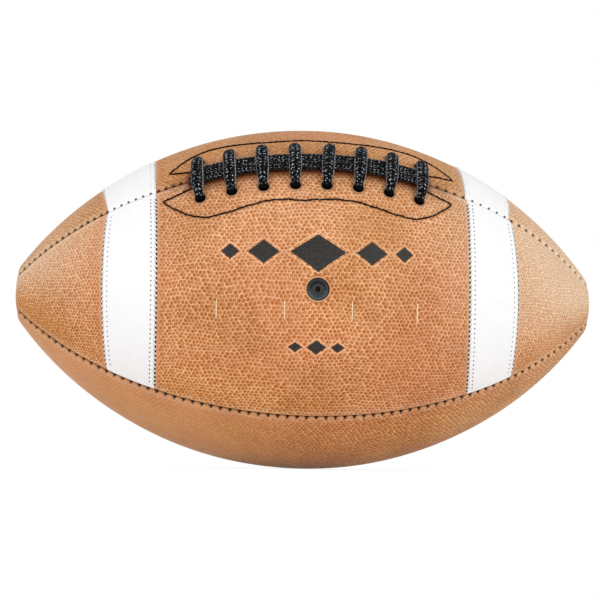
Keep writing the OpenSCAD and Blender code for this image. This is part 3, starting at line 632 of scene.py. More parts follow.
def moulded_rubber(name, code, dusty, gloss):
    """Moulded rubber: dark grey, mottled by dust in specks of about a millimetre; "disc" marks the
    browner plug face and "dark" the near-black of painted shade in the gaps and holes, and of the mould line."""
    mat, tree = new_material(name)
    place = add(tree, PLACE).outputs["Object"]
    disc, dark = (add(tree, MARK, attribute_name=key).outputs["Fac"] for key in ("disc", "dark"))
    dust = add(tree, NOISE, {"Vector": place, "Scale": 900.0, "Detail": 4.0})
    dusted = add(tree, RANGE, {0: dust, 1: 0.4, 2: 0.75, 3: 0.0, 4: 0.5})
    colour = code
    # dust, the plug's face, then the near-black of painted shade and of the mould line
    for share, over in ((dusted, dusty), (disc, PLUG_FACE), (dark, RUBBER_DARK_AND_SHADE)):
        colour = add(tree, MIX, {0: share, 6: colour, 7: over}, data_type="RGBA")
    bump = add(tree, BUMP, {"Height": dust, "Strength": 0.25, "Distance": 0.1 * MM})
    return surfaced(mat, {"Base Color": colour, "Roughness": gloss, "Normal": bump, "Specular IOR Level": 0.35})


def woven_cloth(name, code, hollow_shade):
    """Coarse woven cotton: threads 0.6 mm apart over and under, with painted shade where they pass under."""
    mat, tree = new_material(name)
    place = add(tree, PLACE).outputs["Object"]
    warp, weft = (add(tree, WAVES, {"Vector": place, "Scale": 260.0}, bands_direction=way).outputs[1] for way in "XZ")
    weave = add(tree, MATH, {0: warp, 1: weft}, operation="MULTIPLY")
    colour = add(tree, MIX, {0: weave, 6: hollow_shade, 7: code}, data_type="RGBA")
    bump = add(tree, BUMP, {"Height": weave, "Strength": 0.5, "Distance": 0.2 * MM})
    return surfaced(mat, {"Base Color": colour, "Roughness": 0.9, "Normal": bump})


def stamped_ink():
    """Ink pressed into the pebbles: matt black, worn thin on the pebble tops."""
    mat, tree = new_material("stamped_ink")
    flat = add(tree, FLAT, uv_map="flat")
    cells = add(tree, CELLS, {"Vector": flat, "Scale": 1.0, "Randomness": 0.6}, voronoi_dimensions="2D")
    worn = add(tree, RANGE, {0: cells, 1: 0.45, 2: 0.05, 3: 0.0, 4: 0.55})
    colour = add(tree, MIX, {0: worn, 6: INK, 7: INK_WORN}, data_type="RGBA")
    bump = add(tree, BUMP, {"Height": cells, "Strength": 0.5, "Distance": 0.12 * MM})
    return surfaced(mat, {"Base Color": colour, "Roughness": 0.55, "Normal": bump})


MATERIALS = {}


def material(key):
    """A material, made the first time it is asked for."""
    look = bpy.context.scene.finish
    makers = {
        "leather": (pebbled_leather,), "stripe": (coated_leather,), "braid": (waxed_braid,), "ink": (stamped_ink,),
        # threads and cloth: name, colour and the painted shade of their hollows; rubber: name, colour, dust and gloss
        "thread": (waxed_thread, "waxed_thread", look.black, "060505"),
        "dull thread": (waxed_thread, "rubbed_thread", "3A2E26", "1C1612"),
        "pale thread": (waxed_thread, "pale_thread", "F4F2EC", "DDD8CE"),
        "paint": (waxed_thread, "cream_paint", "F7E3C0", "EAD2AA"),
        "valve": (moulded_rubber, "valve_rubber", look.rubber, "4A5557", 0.42),
        "plug": (moulded_rubber, "plug_rubber", "2C3032", "41474A", 0.5),
        "bladder": (moulded_rubber, "bladder_rubber", "1B1B1D", "2C2C2E", 0.4),
        "cloth": (woven_cloth, "cotton_lining", "CFC6B0", "8E826A"),
        "facing": (woven_cloth, "facing_split", "8A5A34", "5E3A20"),
    }
    if key not in MATERIALS:
        maker, *words = makers[key]
        MATERIALS[key] = maker(*words)
    return MATERIALS[key]


# ---- Panels ----

# Close rows reach this far from a seam and, at the laced seam, round the facing; their step there;
# and half the length of the stretch with close columns; all in mm
EDGE, FACING_ZONE, FACING_STEP, FINE_REACH = 4.0, 28.0, 0.55, 64.0


def stations(fine_from, fine_to, fine, coarse):
    """Distances along the outline: fine steps in one stretch and coarse ones to both tips."""
    end = arcs().to_tip
    left = np.linspace(-end, fine_from, max(2, int((end + fine_from) / coarse)))
    middle = np.linspace(fine_from, fine_to, max(2, int((fine_to - fine_from) / fine)))
    right = np.linspace(fine_to, end, max(2, int((end - fine_to) / coarse)))
    return np.concatenate([left[:-1], middle, right[1:]])


def across(wide, laced):
    """Shares from one seam to the next, row by row: close together in the rolls and, at the laced
    seam, as far as the facing, and even in between."""
    wide = wide[:, None]
    edge, zone = np.minimum(EDGE, 0.32 * wide), np.minimum(FACING_ZONE, 0.46 * wide)
    first, last = (zone if laced == end else edge for end in ("first", "last"))
    roll = edge * np.linspace(0, 1, 13) ** 1.35
    close = np.linspace(0, 1, int((FACING_ZONE - EDGE) / FACING_STEP))[1:]
    parts = [roll]
    if laced == "first":
        parts.append(edge + (first - edge) * close)
    parts.append(first + (wide - last - first) * np.linspace(0, 1, 50)[1:])
    if laced == "last":
        parts.append(wide - last + (last - edge) * close)
    parts.append(wide - roll[:, -2::-1])
    return np.concatenate(parts, 1) / wide


# The facings' stitch lines below (-1) and above (1) the seam, in mm: how far their left and right
# points lie from the lacing's middle, and how far the waist and the points lie from the seam
FACINGS = {-1: (-69.2, 68.3, 20.9, 8.8), 1: (-66.0, 70.6, 22.4, 10.8)}
FACING_REACH = 68.5


def facing_edge(u, waist, tip):
    """Distance from the seam to a facing's edge at u along the ball from the lacing's middle:
    straight at the waist, a half wave out to each belly, a quarter wave in to each point, and a
    bell where the hand-drawn waist swerves."""
    belly, belly_at, waist_half = 24.8, 45.5, 15.0
    swerve, swerve_at, swerve_wide = 0.9, -3.0, 7.5
    a = np.abs(u)
    out = np.clip((a - waist_half) / (belly_at - waist_half), 0, 1)
    back = np.clip((a - belly_at) / (FACING_REACH - belly_at), 0, 1)
    wave = waist + (belly - waist) * (1 - np.cos(np.pi * out)) / 2 + swerve * bell(u - swerve_at, swerve_wide)
    return np.where(a > belly_at, tip + (belly - tip) * np.cos(np.pi / 2 * back) ** 0.85, wave)


def facing_line(side):
    """Points of the facing's stitch line on one side of the laced seam: in from the first cross
    lace to a point, along the wavy edge, and from the other point back in."""
    lace = bpy.context.scene.lacing_form
    left, right, waist, tip = FACINGS[side]
    neck, neck_y, few = (lace.bars - 1) / 2 * lace.pitch + 2.6, 5.6, 24
    u = np.linspace(-FACING_REACH, FACING_REACH, 260)
    x = np.where(u < 0, -u * left, u * right) / FACING_REACH
    x = np.concatenate([np.linspace(-neck, left, few)[:-1], x, np.linspace(right, neck, few)[1:]])
    y = np.concatenate([np.linspace(neck_y, tip, few)[:-1], facing_edge(u, waist, tip),
                        np.linspace(tip, neck_y, few)[1:]])
    return x + lace.shift, side * y


def nearest(points, line):
    """Distance from each point to the nearest point of a line, in blocks to save memory."""
    out, block = np.empty(len(points)), 20000
    for k in range(0, len(points), block):
        out[k:k + block] = np.sqrt(((points[k:k + block, None] - line[None]) ** 2).sum(-1)).min(1)
    return out


def mark_facing(marks, points, x, seam_side, side):
    """Marks a laced panel round its facing, and returns how deep it is pressed in there: a groove
    with raised sides along the stitch line, and a dished, punched hole for each cross lace. Painted shade
    darkens the groove, the holes and the leather beside the lace, and under the lace the leather is painted near-black."""
    lace = bpy.context.scene.lacing_form
    along, far = np.abs(x - lace.shift), 99.0
    close = (seam_side < 30) & (along < 74)
    line, _ = beside_seam(*facing_line(side), 0.0)
    centres, _ = beside_seam(hole_places(side), np.full(lace.bars, side * lace.hole_at), 0.0)
    groove, hole = np.full((2, *x.shape), far)
    groove[close], hole[close] = nearest(points[close], line), nearest(points[close], centres)
    laced = smooth(60, 55, along)
    # painted shade: brown in the stitch groove, under and beside the strands, round the holes and along the seam; under
    # the lace near-black
    marks["shade"] += 0.35 * bell(groove, 0.75) + 0.85 * laced * smooth(10.0, 5.0, seam_side)
    marks["shade"] += 0.45 * smooth(4.2, 2.6, hole) + 0.45 * smooth(7.0, 1.0, seam_side) * smooth(71, 64, along)
    marks["dark"] += 0.5 * laced * smooth(5.6, 4.4, seam_side)
    # depths, heights and half widths of the groove, of its sides, of the dish and of the hole, in mm
    groove_deep, groove_wide, side_high, side_at, side_wide = 0.26, 0.6, 0.12, 1.7, 1.2
    dish_deep, dish_wide, hole_deep, hole_wall = 0.35, 4.2, 3.4, (2.45, 2.95)
    return (groove_deep * bell(groove, groove_wide) - side_high * bell(groove - side_at, side_wide)
            + dish_deep * bell(hole, dish_wide) + hole_deep * (1 - smooth(*hole_wall, hole)))


def mark_front(marks, points, x, share, last):
    """Marks the front panel: paler beside the laced seam, golden along its foot, rosy in one broad
    patch on the right and one on the left, and painted near-black shade at the bottom of the valve's
    hole. Returns the dish and hole for the valve."""
    valve = np.linalg.norm(points + [0, bpy.context.scene.ball_form.belly / 2, 0], axis=-1)
    # painted shade at the bottom of the valve's hole
    marks["dark"] += smooth(5.0, 4.4, valve)
    marks["wear_and_light"] += 0.25 * smooth(0.7, 0.0, share)
    marks["tone"] -= 0.45 * smooth(0.6, 1.0, share) * smooth(40, -30, x)
    marks["warm"] = 0.9 * smooth(26, 3, last) - 0.9 * bell(x - 58, 22) * smooth(0.05, 0.4, share)
    marks["warm"] -= 0.7 * bell(x + 48, 26) * smooth(0.25, 0.5, share) * smooth(0.95, 0.75, share)
    dish_deep, dish_wide, hole_deep, hole_wall = 0.45, 7.5, 2.2, (5.4, 6.1)
    return dish_deep * bell(valve, dish_wide) + hole_deep * (1 - smooth(*hole_wall, valve))


def mark_bottom(marks, x, share, first):
    """Marks the bottom panel: rosy beside the front seam, and towards the left rubbed smooth, rosy
    and darkened with painted shade; painted shade makes it a little darker again on the right."""
    left, ahead = smooth(25, -55, x), smooth(0.95, 0.6, share)
    rubbed = (0.56 * left + 0.22 * smooth(0.08, 0.40, share)) * ahead
    marks["plain"] += rubbed
    # painted shade over the rubbed part, and a little more towards the right
    marks["shade"] += 0.30 * rubbed + 0.12 * smooth(10, 90, x)
    marks["warm"] = 0.5 - 1.6 * smooth(11, 3, first) - 1.1 * left * ahead


def mark_stripes(marks, x, share, clock):
    """Marks a laced panel along the edges of its stripes, where the leather is pressed smooth and rosy,
    and darkened with painted shade."""
    form = bpy.context.scene.stripe_form
    from_middle = np.abs(x - form.shift - stripe_lean(share, clock, np.sign(x))) - form.start
    for edge in (np.abs(from_middle), np.abs(from_middle - stripe_width(share))):
        marks["plain"] += smooth(2.0, 1.0, edge)
        # painted shade along each edge
        marks["shade"] += 0.30 * smooth(2.3, 0.7, edge)
        marks["warm"] -= 2.0 * smooth(5.0, 2.0, edge)


def panel_mesh(name, clock, tone, plain, laced, holes):
    """One panel as a closed shell: the outer skin with its rolls, stitch holes, lace holes and stitch
    grooves, and a plain inner face a leather's thickness further in. Its marks are the share of
    upper tan, of paleness where hands rub it and light is painted, of near-black painted shade, of brown
    painted shade, of smoothness and of warmth at each point."""
    f, lace = bpy.context.scene.ball_form, bpy.context.scene.lacing_form
    fine, coarse, front = 0.5, 0.9, clock == LACED_SEAM
    ends = [float(along_of(lace.shift + side * FINE_REACH)) for side in (-1, 1)]
    s = stations(*ends, fine if laced or any(holes) else coarse, fine if any(holes) else coarse)
    wide = outline(s)[1] * np.pi / 2
    share = across(wide, laced)
    s = s[:, None] + 0 * share
    x, r, nx, nr = outline(s)
    sewn = smooth(57, 61, np.abs(x - lace.shift))
    amounts = [has * (sewn if laced == end else 1.0) for has, end in zip(holes, ("first", "last"))]
    points, first, last = panel_skin(s, share, clock, amounts)
    near, angle = np.minimum(first, last), np.radians(clock) + share * np.pi / 2

    # pale where hands rub the tips, with painted light on top of it: the right tip palest, the bottom least
    right = smooth(1.15, 0.45, share) if front else 1 + 0.85 * min(tone, 0)
    left = (0.55 if laced else 0.30) * smooth(0.0, 0.9, 1 - share if front else share)
    marks = {"tone": tone + 0 * x,
             "wear_and_light": 0.95 * smooth(35, 135, x) * right + smooth(80, 138, -x) * left + 0.30 * bell(near - 2.4, 1.0),
             # painted shade: near-black in each seam's crease and brown beside it, both less towards the right tip
             "dark": 0.60 * smooth(0.45, 0.10, near) * smooth(120, 50, x),
             "shade": (0.40 - 0.32 * smooth(60, 110, x)) * bell(near, 1.1),
             "plain": plain + smooth(1.9, 0.9, near),
             "warm": 0.9 * smooth(26, 3, near)}
    # painted shade in each stitch hole
    for amount, d, seam in zip(amounts, (first, last), (clock, clock + 90)):
        marks["dark"] += amount * stitch_hole(s, d, seam_pitch(seam, s)) * smooth(*TIP_FADE, r)
    sink = 0 * x
    if front:
        sink += mark_front(marks, points, x, share, last)
    if clock == LOWER_FRONT_SEAM:
        mark_bottom(marks, x, share, first)
    if laced:
        side = -1 if laced == "first" else 1
        sink += mark_facing(marks, points, x, first if side < 0 else last, side)
        marks["warm"] += 0.8 * smooth(95, 130, -x)
        mark_stripes(marks, x, share, clock)
    for key, most in (("wear_and_light", 1), ("dark", 1), ("shade", 0.95), ("plain", 1)):
        marks[key] = np.clip(marks[key], 0, most)

    top = points - sink[..., None] * at_clock(nx, nr, angle)
    # the inner face stays clear of the rolls beside the seams and of the deepest groove
    roll_room, roll_wide, groove_room = 2.0, 1.6, 0.8
    depth = f.leather + roll_room * bell(near, roll_wide) + groove_room
    few = np.unique(np.linspace(0, x.shape[1] - 1, 26).astype(int))
    inner = at_clock(x - depth * nx, np.maximum(r - depth * nr, 0.02), angle)[:, few]
    return slab(name, top, inner, pebble_place(s, first - wide[:, None] / 2) + [0, clock], marks)


class BALL_OT_panels(bpy.types.Operator):
    """Four leather panels with rolled seams, stitch holes, punched holes and stitch grooves"""
    bl_idname = "ball.panels"
    bl_label = "Leather panels"

    def execute(self, context):
        # share of upper (or under) tan, smoothness, laced edge, and seams with stitch holes
        for name, clock, tone, plain, laced, holes in (
                ("front", LACED_SEAM, 0.0, 0.0, "first", (0, 0)),
                ("top", UPPER_BACK_SEAM, 0.5, 0.0, "last", (0, 1)),
                ("back", LOWER_BACK_SEAM, 0.1, 0.05, None, (1, 1)),
                ("bottom", LOWER_FRONT_SEAM, -0.9, 0.0, None, (1, 0))):
            piece = panel_mesh("leather_" + name, clock, tone, plain, laced, holes)
            finish_piece(piece, "leather", "panel_leather", "panel_" + name)
        return {"FINISHED"}


# ---- Stripes ----

def stripe_lean(share, clock, side):
    """How far the hand-sewn front stripes lean to the right: the left one evenly down to its foot,
    the right one at its ends alone, by fourth powers of the shares to them."""
    form = bpy.context.scene.stripe_form
    if clock != LACED_SEAM:
        return 0 * share
    return np.where(side < 0, form.lean_left * share,
                    form.lean_right * share ** 4 + form.step_right * (1 - share) ** 4)


def stripe_width(share):
    """A stripe's width: a parabola from the seams to the middle of the panel."""
    form = bpy.context.scene.stripe_form
    return form.width - form.taper * (2 * share - 1) ** 2


def stripe_edge(share, outer, clock, side):
    """Distance along the outline to a stripe's inner or outer edge, left (-1) or right (1) of the
    middle."""
    form = bpy.context.scene.stripe_form
    right = form.shift + stripe_lean(share, clock, side)
    return along_of(form.start + side * right + (stripe_width(share) if outer else 0 * share))


class BALL_OT_stripes(bpy.types.Operator):
    """White stripes that stand proud of the two laced panels and roll into their seams"""
    bl_idname = "ball.stripes"
    bl_label = "Stripes"

    def execute(self, context):
        form = context.scene.stripe_form
        rows, columns, cut, least = 90, 220, 0.12, 0.06
        groove_deep, groove_wide, sunk, sunk_at_seam = 0.10, 0.5, 0.25, 0.3
        part = np.linspace(0, 1, rows)[:, None]
        row = np.minimum(part, 1 - part) * form.width
        # columns close up towards the seams along a cosine, cut short at both ends
        even = np.cos(np.pi * (cut + (1 - 2 * cut) * np.linspace(0, 1, columns)))
        share = 0.5 - 0.5 * even / math.cos(np.pi * cut) + 0 * part
        for panel, clock in (("front", LACED_SEAM), ("top", UPPER_BACK_SEAM)):
            for end, side in (("left", -1), ("right", 1)):
                low, high = (stripe_edge(share, outer, clock, side) for outer in (False, True))
                s = side * (low + (high - low) * part)
                points, first, last = panel_skin(s, share, clock)
                normals, near = grid_normals(points), np.minimum(first, last)
                rise = least + (form.proud - least) * smooth(0.15, 1.7, near) * np.sqrt(smooth(-0.15, 0.55, row))
                top = points + (rise - groove_deep * bell(row - form.inset, groove_wide))[..., None] * normals
                bottom = points - (sunk + sunk_at_seam * smooth(1.5, 0.0, near))[..., None] * normals
                # painted shade: darker in the seam's crease, and on the top panel near-black dots where the seam's
                # stitch holes lie
                dark = 0.30 * smooth(0.55, 0.1, near)
                if panel == "top":
                    off = off_stitch(s, seam_pitch(LACED_SEAM, s))
                    dark += 1.2 * smooth(0.50, 0.34, np.hypot(off / 1.5, last - 0.70))
                piece = slab(f"stripe_coat_{panel}_{end}", top, bottom[:, ::10][:, :-1],
                             pebble_place(s, (first - last) / 2) + [0, clock], {"dark": np.clip(dark, 0, 1)})
                finish_piece(piece, "stripe", "stripe_coating", f"stripe_{panel}_{end}")
        return {"FINISHED"}


def skin_at(s, share, clock, height):
    """Points a height above a panel's skin, at matching arrays of places, by the outline's normal."""
    points, _, _ = panel_skin(s, share, clock)
    _, _, nx, nr = outline(s)
    return points + np.asarray(height)[..., None] * at_clock(nx, nr, np.radians(clock) + share * np.pi / 2)


def edge_rods(outer, clock, side, along, inside, height, radius):
    """Short rods at a stripe's edge, one a stitch: a point of each lies this far along the edge
    from its stitch and inside the edge, at this height over the leather. Returns their points and
    radii."""
    form = bpy.context.scene.stripe_form
    wide = float(outline(stripe_edge(np.array(0.5), outer, clock, side))[1]) * np.pi / 2
    count = int((wide - 5.5) / form.stitch)
    middle = ((np.arange(count) + 0.5) * form.stitch + (wide - count * form.stitch) / 2)[:, None]
    share = (middle + along) / wide
    s = side * (stripe_edge(share, outer, clock, side) + (-inside if outer else inside))
    return skin_at(s, share, clock, height), radius + 0 * share


class BALL_OT_stripe_threads(bpy.types.Operator):
    """A row of dots inside each edge of a stripe, and the zigzag that sews the edge: a needle dot in
    the leather, a small arc in the coat half a stitch on, and a pale thread from one to the other"""
    bl_idname = "ball.stripe_threads"
    bl_label = "Stripe threads"

    def execute(self, context):
        form = context.scene.stripe_form
        t = np.linspace(-1, 1, 7)
        knob, arc = rounded(t, 2, least=0.02), np.radians(105 * t)
        # the top panel's dots lie deeper and are smaller, and its threads are finer
        for panel, clock, sunk, dot, needle_at, needle, fine in (
                ("front", LACED_SEAM, 0.02, 0.30, 0.15, 0.35, 1.0),
                ("top", UPPER_BACK_SEAM, 0.14, 0.18, -0.12, 0.25, 0.55)):
            for end, side in (("left", -1), ("right", 1)):
                dots, curls, zigzag = [], [], []
                for outer, size in ((False, 1.0), (True, 0.8)):
                    for rods, *shape in (
                            (dots, 0.34 * size * t, form.inset, form.proud - sunk - 0.14 * t ** 2, dot * size * knob),
                            (dots, form.stitch / 2 + 0.60 * size * t, -0.20 - 0.34 * t, needle_at - 0.12 * t ** 2,
                             needle * size * knob),
                            (curls, 0.62 * size * np.sin(arc), 0.62 - 0.42 * size * np.cos(arc),
                             form.proud + 0.03 - 0.14 * t ** 4, 0.13 * size * fine * (0.5 + 0.5 * knob)),
                            (zigzag, 0.30 * t, 0.05 - 0.62 * t,
                             0.16 + form.proud * smooth(0.4, -0.5, t) - 0.22 * t ** 4,
                             0.46 * size * fine * (0.6 + 0.4 * knob))):
                        rods.append(edge_rods(outer, clock, side, *shape))
                for word, rods, key, nodes in (("dots", dots, "thread", [f"stripe_thread_{panel}_{end}"]),
                                               ("arcs", curls, "dull thread", []),
                                               ("zigzag", zigzag, "pale thread", [])):
                    centres, radii = (np.concatenate(both) for both in zip(*rods))
                    finish_piece(tubes(f"stripe_{word}_{panel}_{end}", centres, radii, 6), key, "thread", *nodes)
        return {"FINISHED"}


# ---- Seams and facings ----

def seam_line(clock, s, depth, aside=0.0):
    """Points beside a seam's plane at a depth inside the outline, a distance round from the seam."""
    x, r, nx, nr = outline(s)
    return at_clock(x - depth * nx, r - depth * nr, math.radians(clock) + aside / r)


class BALL_OT_seam_threads(bpy.types.Operator):
    """Waxed thread deep in each seam, and the short stitch that shows in every hole"""
    bl_idname = "ball.seam_threads"
    bl_label = "Seam threads"

    def execute(self, context):
        lace = context.scene.lacing_form
        # the laced seam's thread ends 9 mm past the cross laces, and all four end where the ball is
        # 132 mm from its middle
        slit, reach = (lace.bars - 1) / 2 * lace.pitch + 9.0, float(along_of(132))
        cord_depth, cord_r, knot_depth, knot_r, knot_half = 1.75, 0.36, 1.35, 0.48, 0.40
        t = np.linspace(-1, 1, 9)
        slit_ends = [float(along_of(lace.shift + side * slit)) for side in (-1, 1)]
        for name, clock, aside in (("laced", LACED_SEAM, -1), ("lower_front", LOWER_FRONT_SEAM, 1),
                                   ("lower_back", LOWER_BACK_SEAM, 1), ("upper_back", UPPER_BACK_SEAM, -1)):
            spans = [(-reach, slit_ends[0]), (slit_ends[1], reach)] if name == "laced" else [(-reach, reach)]
            runs, radii, middles = [], [], []
            for low, high in spans:
                s = np.linspace(low, high, 1600 // len(spans))
                pitch = seam_pitch(clock, s)
                # thicker and nearer the outside at each stitch
                wave = np.cos(2 * np.pi * ((s / pitch) % 1 - 0.5))
                runs.append(seam_line(clock, s, cord_depth - 0.1 * wave))
                radii.append(cord_r + 0.08 * wave)
                middles.append((np.arange(math.ceil(low / pitch[0]), high / pitch[0] - 0.5) + 0.5) * pitch[0])
            cord = tubes(f"seam_cord_{name}", np.stack(runs), np.stack(radii))
            finish_piece(cord, "thread", "thread", f"seam_thread_{name}")
            s = np.concatenate(middles)[:, None] + knot_half * t
            stitches = seam_line(clock, s, knot_depth - 0.15 * t, aside * (0.75 + 0.7 * t))
            knots = tubes(f"seam_stitches_{name}", stitches, knot_r * rounded(t, 4, 0.9))
            finish_piece(knots, "thread", "thread")
        return {"FINISHED"}


class BALL_OT_facing_threads(bpy.types.Operator):
    """Lockstitch round both lace facings, sunk in its groove"""
    bl_idname = "ball.facing_threads"
    bl_label = "Facing threads"

    def execute(self, context):
        pitch, radius = 2.9, 0.39
        t = np.linspace(-1, 1, 9)
        for name, side in (("front", -1), ("top", 1)):
            x, y = facing_line(side)
            step = np.concatenate([[0], np.cumsum(np.hypot(np.diff(x), np.diff(y)))])
            count = int(step[-1] / pitch)
            which = np.arange(count)[:, None]
            at = (which + 0.5 + 0.53 * t) * step[-1] / count
            # each stitch slants a little the other way, and the row wanders
            lean = 0.13 * t * (-1.0) ** which + 0.16 * np.sin(which * 1.7)
            points, _ = beside_seam(np.interp(at, step, x), np.interp(at, step, y) + lean, 0.14 - 0.24 * t ** 6)
            piece = tubes(f"facing_stitches_{name}", points, radius * rounded(t, 6, 0.8), 7)
            finish_piece(piece, "thread", "thread", f"facing_thread_{name}")
        return {"FINISHED"}


def rolled_rim(radius, half, low, rise):
    """The pressed rim of a punched hole, from its outer foot over to the hole's wall: the angles of
    a half circle, and rows of radius and height on it."""
    angle = np.linspace(0, np.pi, 9)
    return angle, np.stack([radius + half + half * np.cos(angle), low + rise * np.sin(angle)], 1)


class BALL_OT_hole_rims(bpy.types.Operator):
    """Pressed rims of the punched lace holes and their walls, darkened with painted shade"""
    bl_idname = "ball.hole_rims"
    bl_label = "Hole rims"

    def execute(self, context):
        lace = context.scene.lacing_form
        r = lace.hole / 2
        angle, rim = rolled_rim(r, 0.42, -0.34, 0.26)
        profile = np.concatenate([[[r + 0.85, -1.3]], rim, [[r, -0.6], [r, -2.0], [r - 0.1, -3.0]]])
        # painted shade: darker as the rim turns into the hole, near-black walls, and brown shade over the whole rim
        dark = np.concatenate([[0.6], 0.15 + 0.6 * smooth(1.4, 2.8, angle), [0.95, 1, 1]])
        for side, word in ((-1, "front"), (1, "top")):
            centre, normal = beside_seam(hole_places(side), np.full(lace.bars, side * lace.hole_at), -0.05)
            piece = turned(f"hole_rims_{word}", profile, centre, normal, unit(np.cross(normal, [0, 1, 0])), 40,
                           (False, True), [[1, 0, 0], [0, 1, -1]],
                           marks={"dark": dark[:, None], "wear_and_light": 0.3, "plain": 1, "shade": 0.55, "tone": 0})
            finish_piece(piece, "leather", "panel_leather")
        return {"FINISHED"}


# ---- Lace ----

def lace_route():
    """Stations of the whole lace beside the laced seam, as rows of x, y, height, width and turn:
    tucked end, front strand, the cross laces with their slanting returns, top strand, tucked end.
    Ends and sides are -1 or 1: left or right, and below or above the seam."""
    lace, f = bpy.context.scene.lacing_form, bpy.context.scene.ball_form
    bars, hole, w, t, pinch = lace.bars, lace.hole_at, lace.width, lace.thick, lace.pinch
    # in mm: how deep the returns lie, how long the dip into the slit is, how far the slit lies past
    # the last cross lace, and how far the ends are tucked in
    leather, back, slit_d, slit_from_bar, tuck = f.leather, 6.2, 5.0, 3.7, 6.0
    last = (bars - 1) / 2 * lace.pitch
    slit_at = last + slit_from_bar
    strand_h, bar_h = lace.lift, lace.lift + t + 0.2
    strand_y, slit_y = lace.strand / 2 + 0.08, (t + lace.air) / 2
    front_x, top_x = hole_places(-1), hole_places(1)

    def dive(end, side):
        """Out of the slit at one end, turning from upright to flat."""
        rows = [(lace.shift + end * slit_at, side * slit_y, -leather, pinch, 0)]
        for back_share, out_share, h_share, turn in ((0.06, 0, -0.35, 20), (0.33, 0.5, 0.8, 70)):
            rows.append((lace.shift + end * (slit_at - back_share * slit_d),
                         side * (slit_y + out_share * (strand_y - slit_y)), h_share * strand_h, pinch, turn))
        return rows

    def strand(side):
        """One running strand, from slit to slit."""
        k = np.linspace(-1, 1, 2 * bars + 1)
        return (dive(-1, side) + [(lace.shift + last * a, side * strand_y, strand_h, lace.strand, 90) for a in k]
                + dive(1, side)[::-1])

    def tucked(end, side):
        """The lace's hidden end, from the slit on."""
        return [(lace.shift + end * slit_at, side * slit_y, -back + t / 2, pinch, 0)] + [
            (lace.shift + end * (slit_at + tuck * a), side * (slit_y + tuck * b), -back, w, 0)
            for a, b in ((0.25, 0.5), (0.5, 1))]

    def way_in(end, side):
        """From the slit back to the first hole that the lace comes out of."""
        return [(lace.shift + end * slit_at, side * slit_y, -back + t / 2, pinch, 0)] + [
            (lace.shift + end * (last + slit_from_bar * a), side * hole * b, -back, pinch, end * side * 25)
            for a, b in ((0.7, 0.4), (0.3, 0.75))]

    def cross_lace(i):
        """Up through a hole, over the strands in a low arch, and down the other."""
        half = [(0, 1, 0), (0.28, 0.99, 0), (0.52, 0.92, 0.06), (0.74, 0.74, 0.36), (0.9, 0.42, 0.82), (0.99, 0.02, 1)]
        rows = [(1, -back + t / 2, pinch), (1, -leather, pinch)]
        rows += [(a, bar_h * b, w + (pinch - w) * c) for a, b, c in half[::-1]]
        both = [(-a, h, wide) for a, h, wide in rows] + rows[::-1][1:]
        return [(float(front_x[i] + (top_x[i] - front_x[i]) * (a / 2 + 0.5) ** 1.6), a * hole, h, wide, 0)
                for a, h, wide in both]

    def inner_return(i):
        """Slanting from a cross lace's upper hole to the next one's lower hole."""
        turn = -math.degrees(math.atan2(lace.pitch, 2 * hole))
        return [(float(top_x[i] * (1 + a) / 2 + front_x[i - 1] * (1 - a) / 2), a * hole, -back, w, turn)
                for a in (0.72, 0.3, -0.3, -0.72)]

    rows = tucked(-1, -1)[::-1] + strand(-1) + way_in(1, -1)
    for i in range(bars - 1, -1, -1):
        rows += cross_lace(i) + (inner_return(i) if i else [])
    return np.array(rows + way_in(-1, 1)[::-1] + strand(1) + tucked(1, 1), float)


def through(values, at, want):
    """Curve through rows of values at given places: each span is a cubic whose end slopes are those
    between its neighbours."""
    slope = np.zeros_like(values)
    slope[1:-1] = (values[2:] - values[:-2]) / (at[2:] - at[:-2])[:, None]
    slope[0], slope[-1] = (values[1] - values[0]) / (at[1] - at[0]), (values[-1] - values[-2]) / (at[-1] - at[-2])
    k = np.clip(np.searchsorted(at, want) - 1, 0, len(at) - 2)
    span = (at[k + 1] - at[k])[:, None]
    t = (want - at[k])[:, None] / span
    return ((2 * t ** 3 - 3 * t ** 2 + 1) * values[k] + (t ** 3 - 2 * t ** 2 + t) * span * slope[k]
            + (3 * t ** 2 - 2 * t ** 3) * values[k + 1] + (t ** 3 - t ** 2) * span * slope[k + 1])


def blurred(values, steps):
    """Running mean of rows, with the ends held."""
    kernel = np.hanning(2 * steps + 3)[1:-1]
    kernel /= kernel.sum()
    padded = np.concatenate([np.repeat(values[:1], steps, 0), values, np.repeat(values[-1:], steps, 0)])
    return np.stack([np.convolve(padded[:, c], kernel, "valid") for c in range(values.shape[1])], 1)


def braid_height(along, round_share, step, strands=8):
    """Height of a braid's surface from 0 to 1. Two families of strands slant opposite ways; each
    strand is half round, and dives under two and over two of the others along a sine."""
    rise, weave = 0.55, 0.30
    a, b = round_share * strands + along / step, round_share * strands - along / step
    ia, ib = np.floor(a), np.floor(b)
    over_a = np.sin((b + ia) * np.pi / 2 + np.pi / 4)
    over_b = -np.sin((a + ib) * np.pi / 2 + np.pi / 4)
    high_a = np.sqrt(np.maximum(1 - (2 * (a - ia) - 1) ** 2, 0)) * rise + weave * over_a
    high_b = np.sqrt(np.maximum(1 - (2 * (b - ib) - 1) ** 2, 0)) * rise + weave * over_b
    return np.clip(np.maximum(high_a, high_b) / (rise + weave), 0, 1)


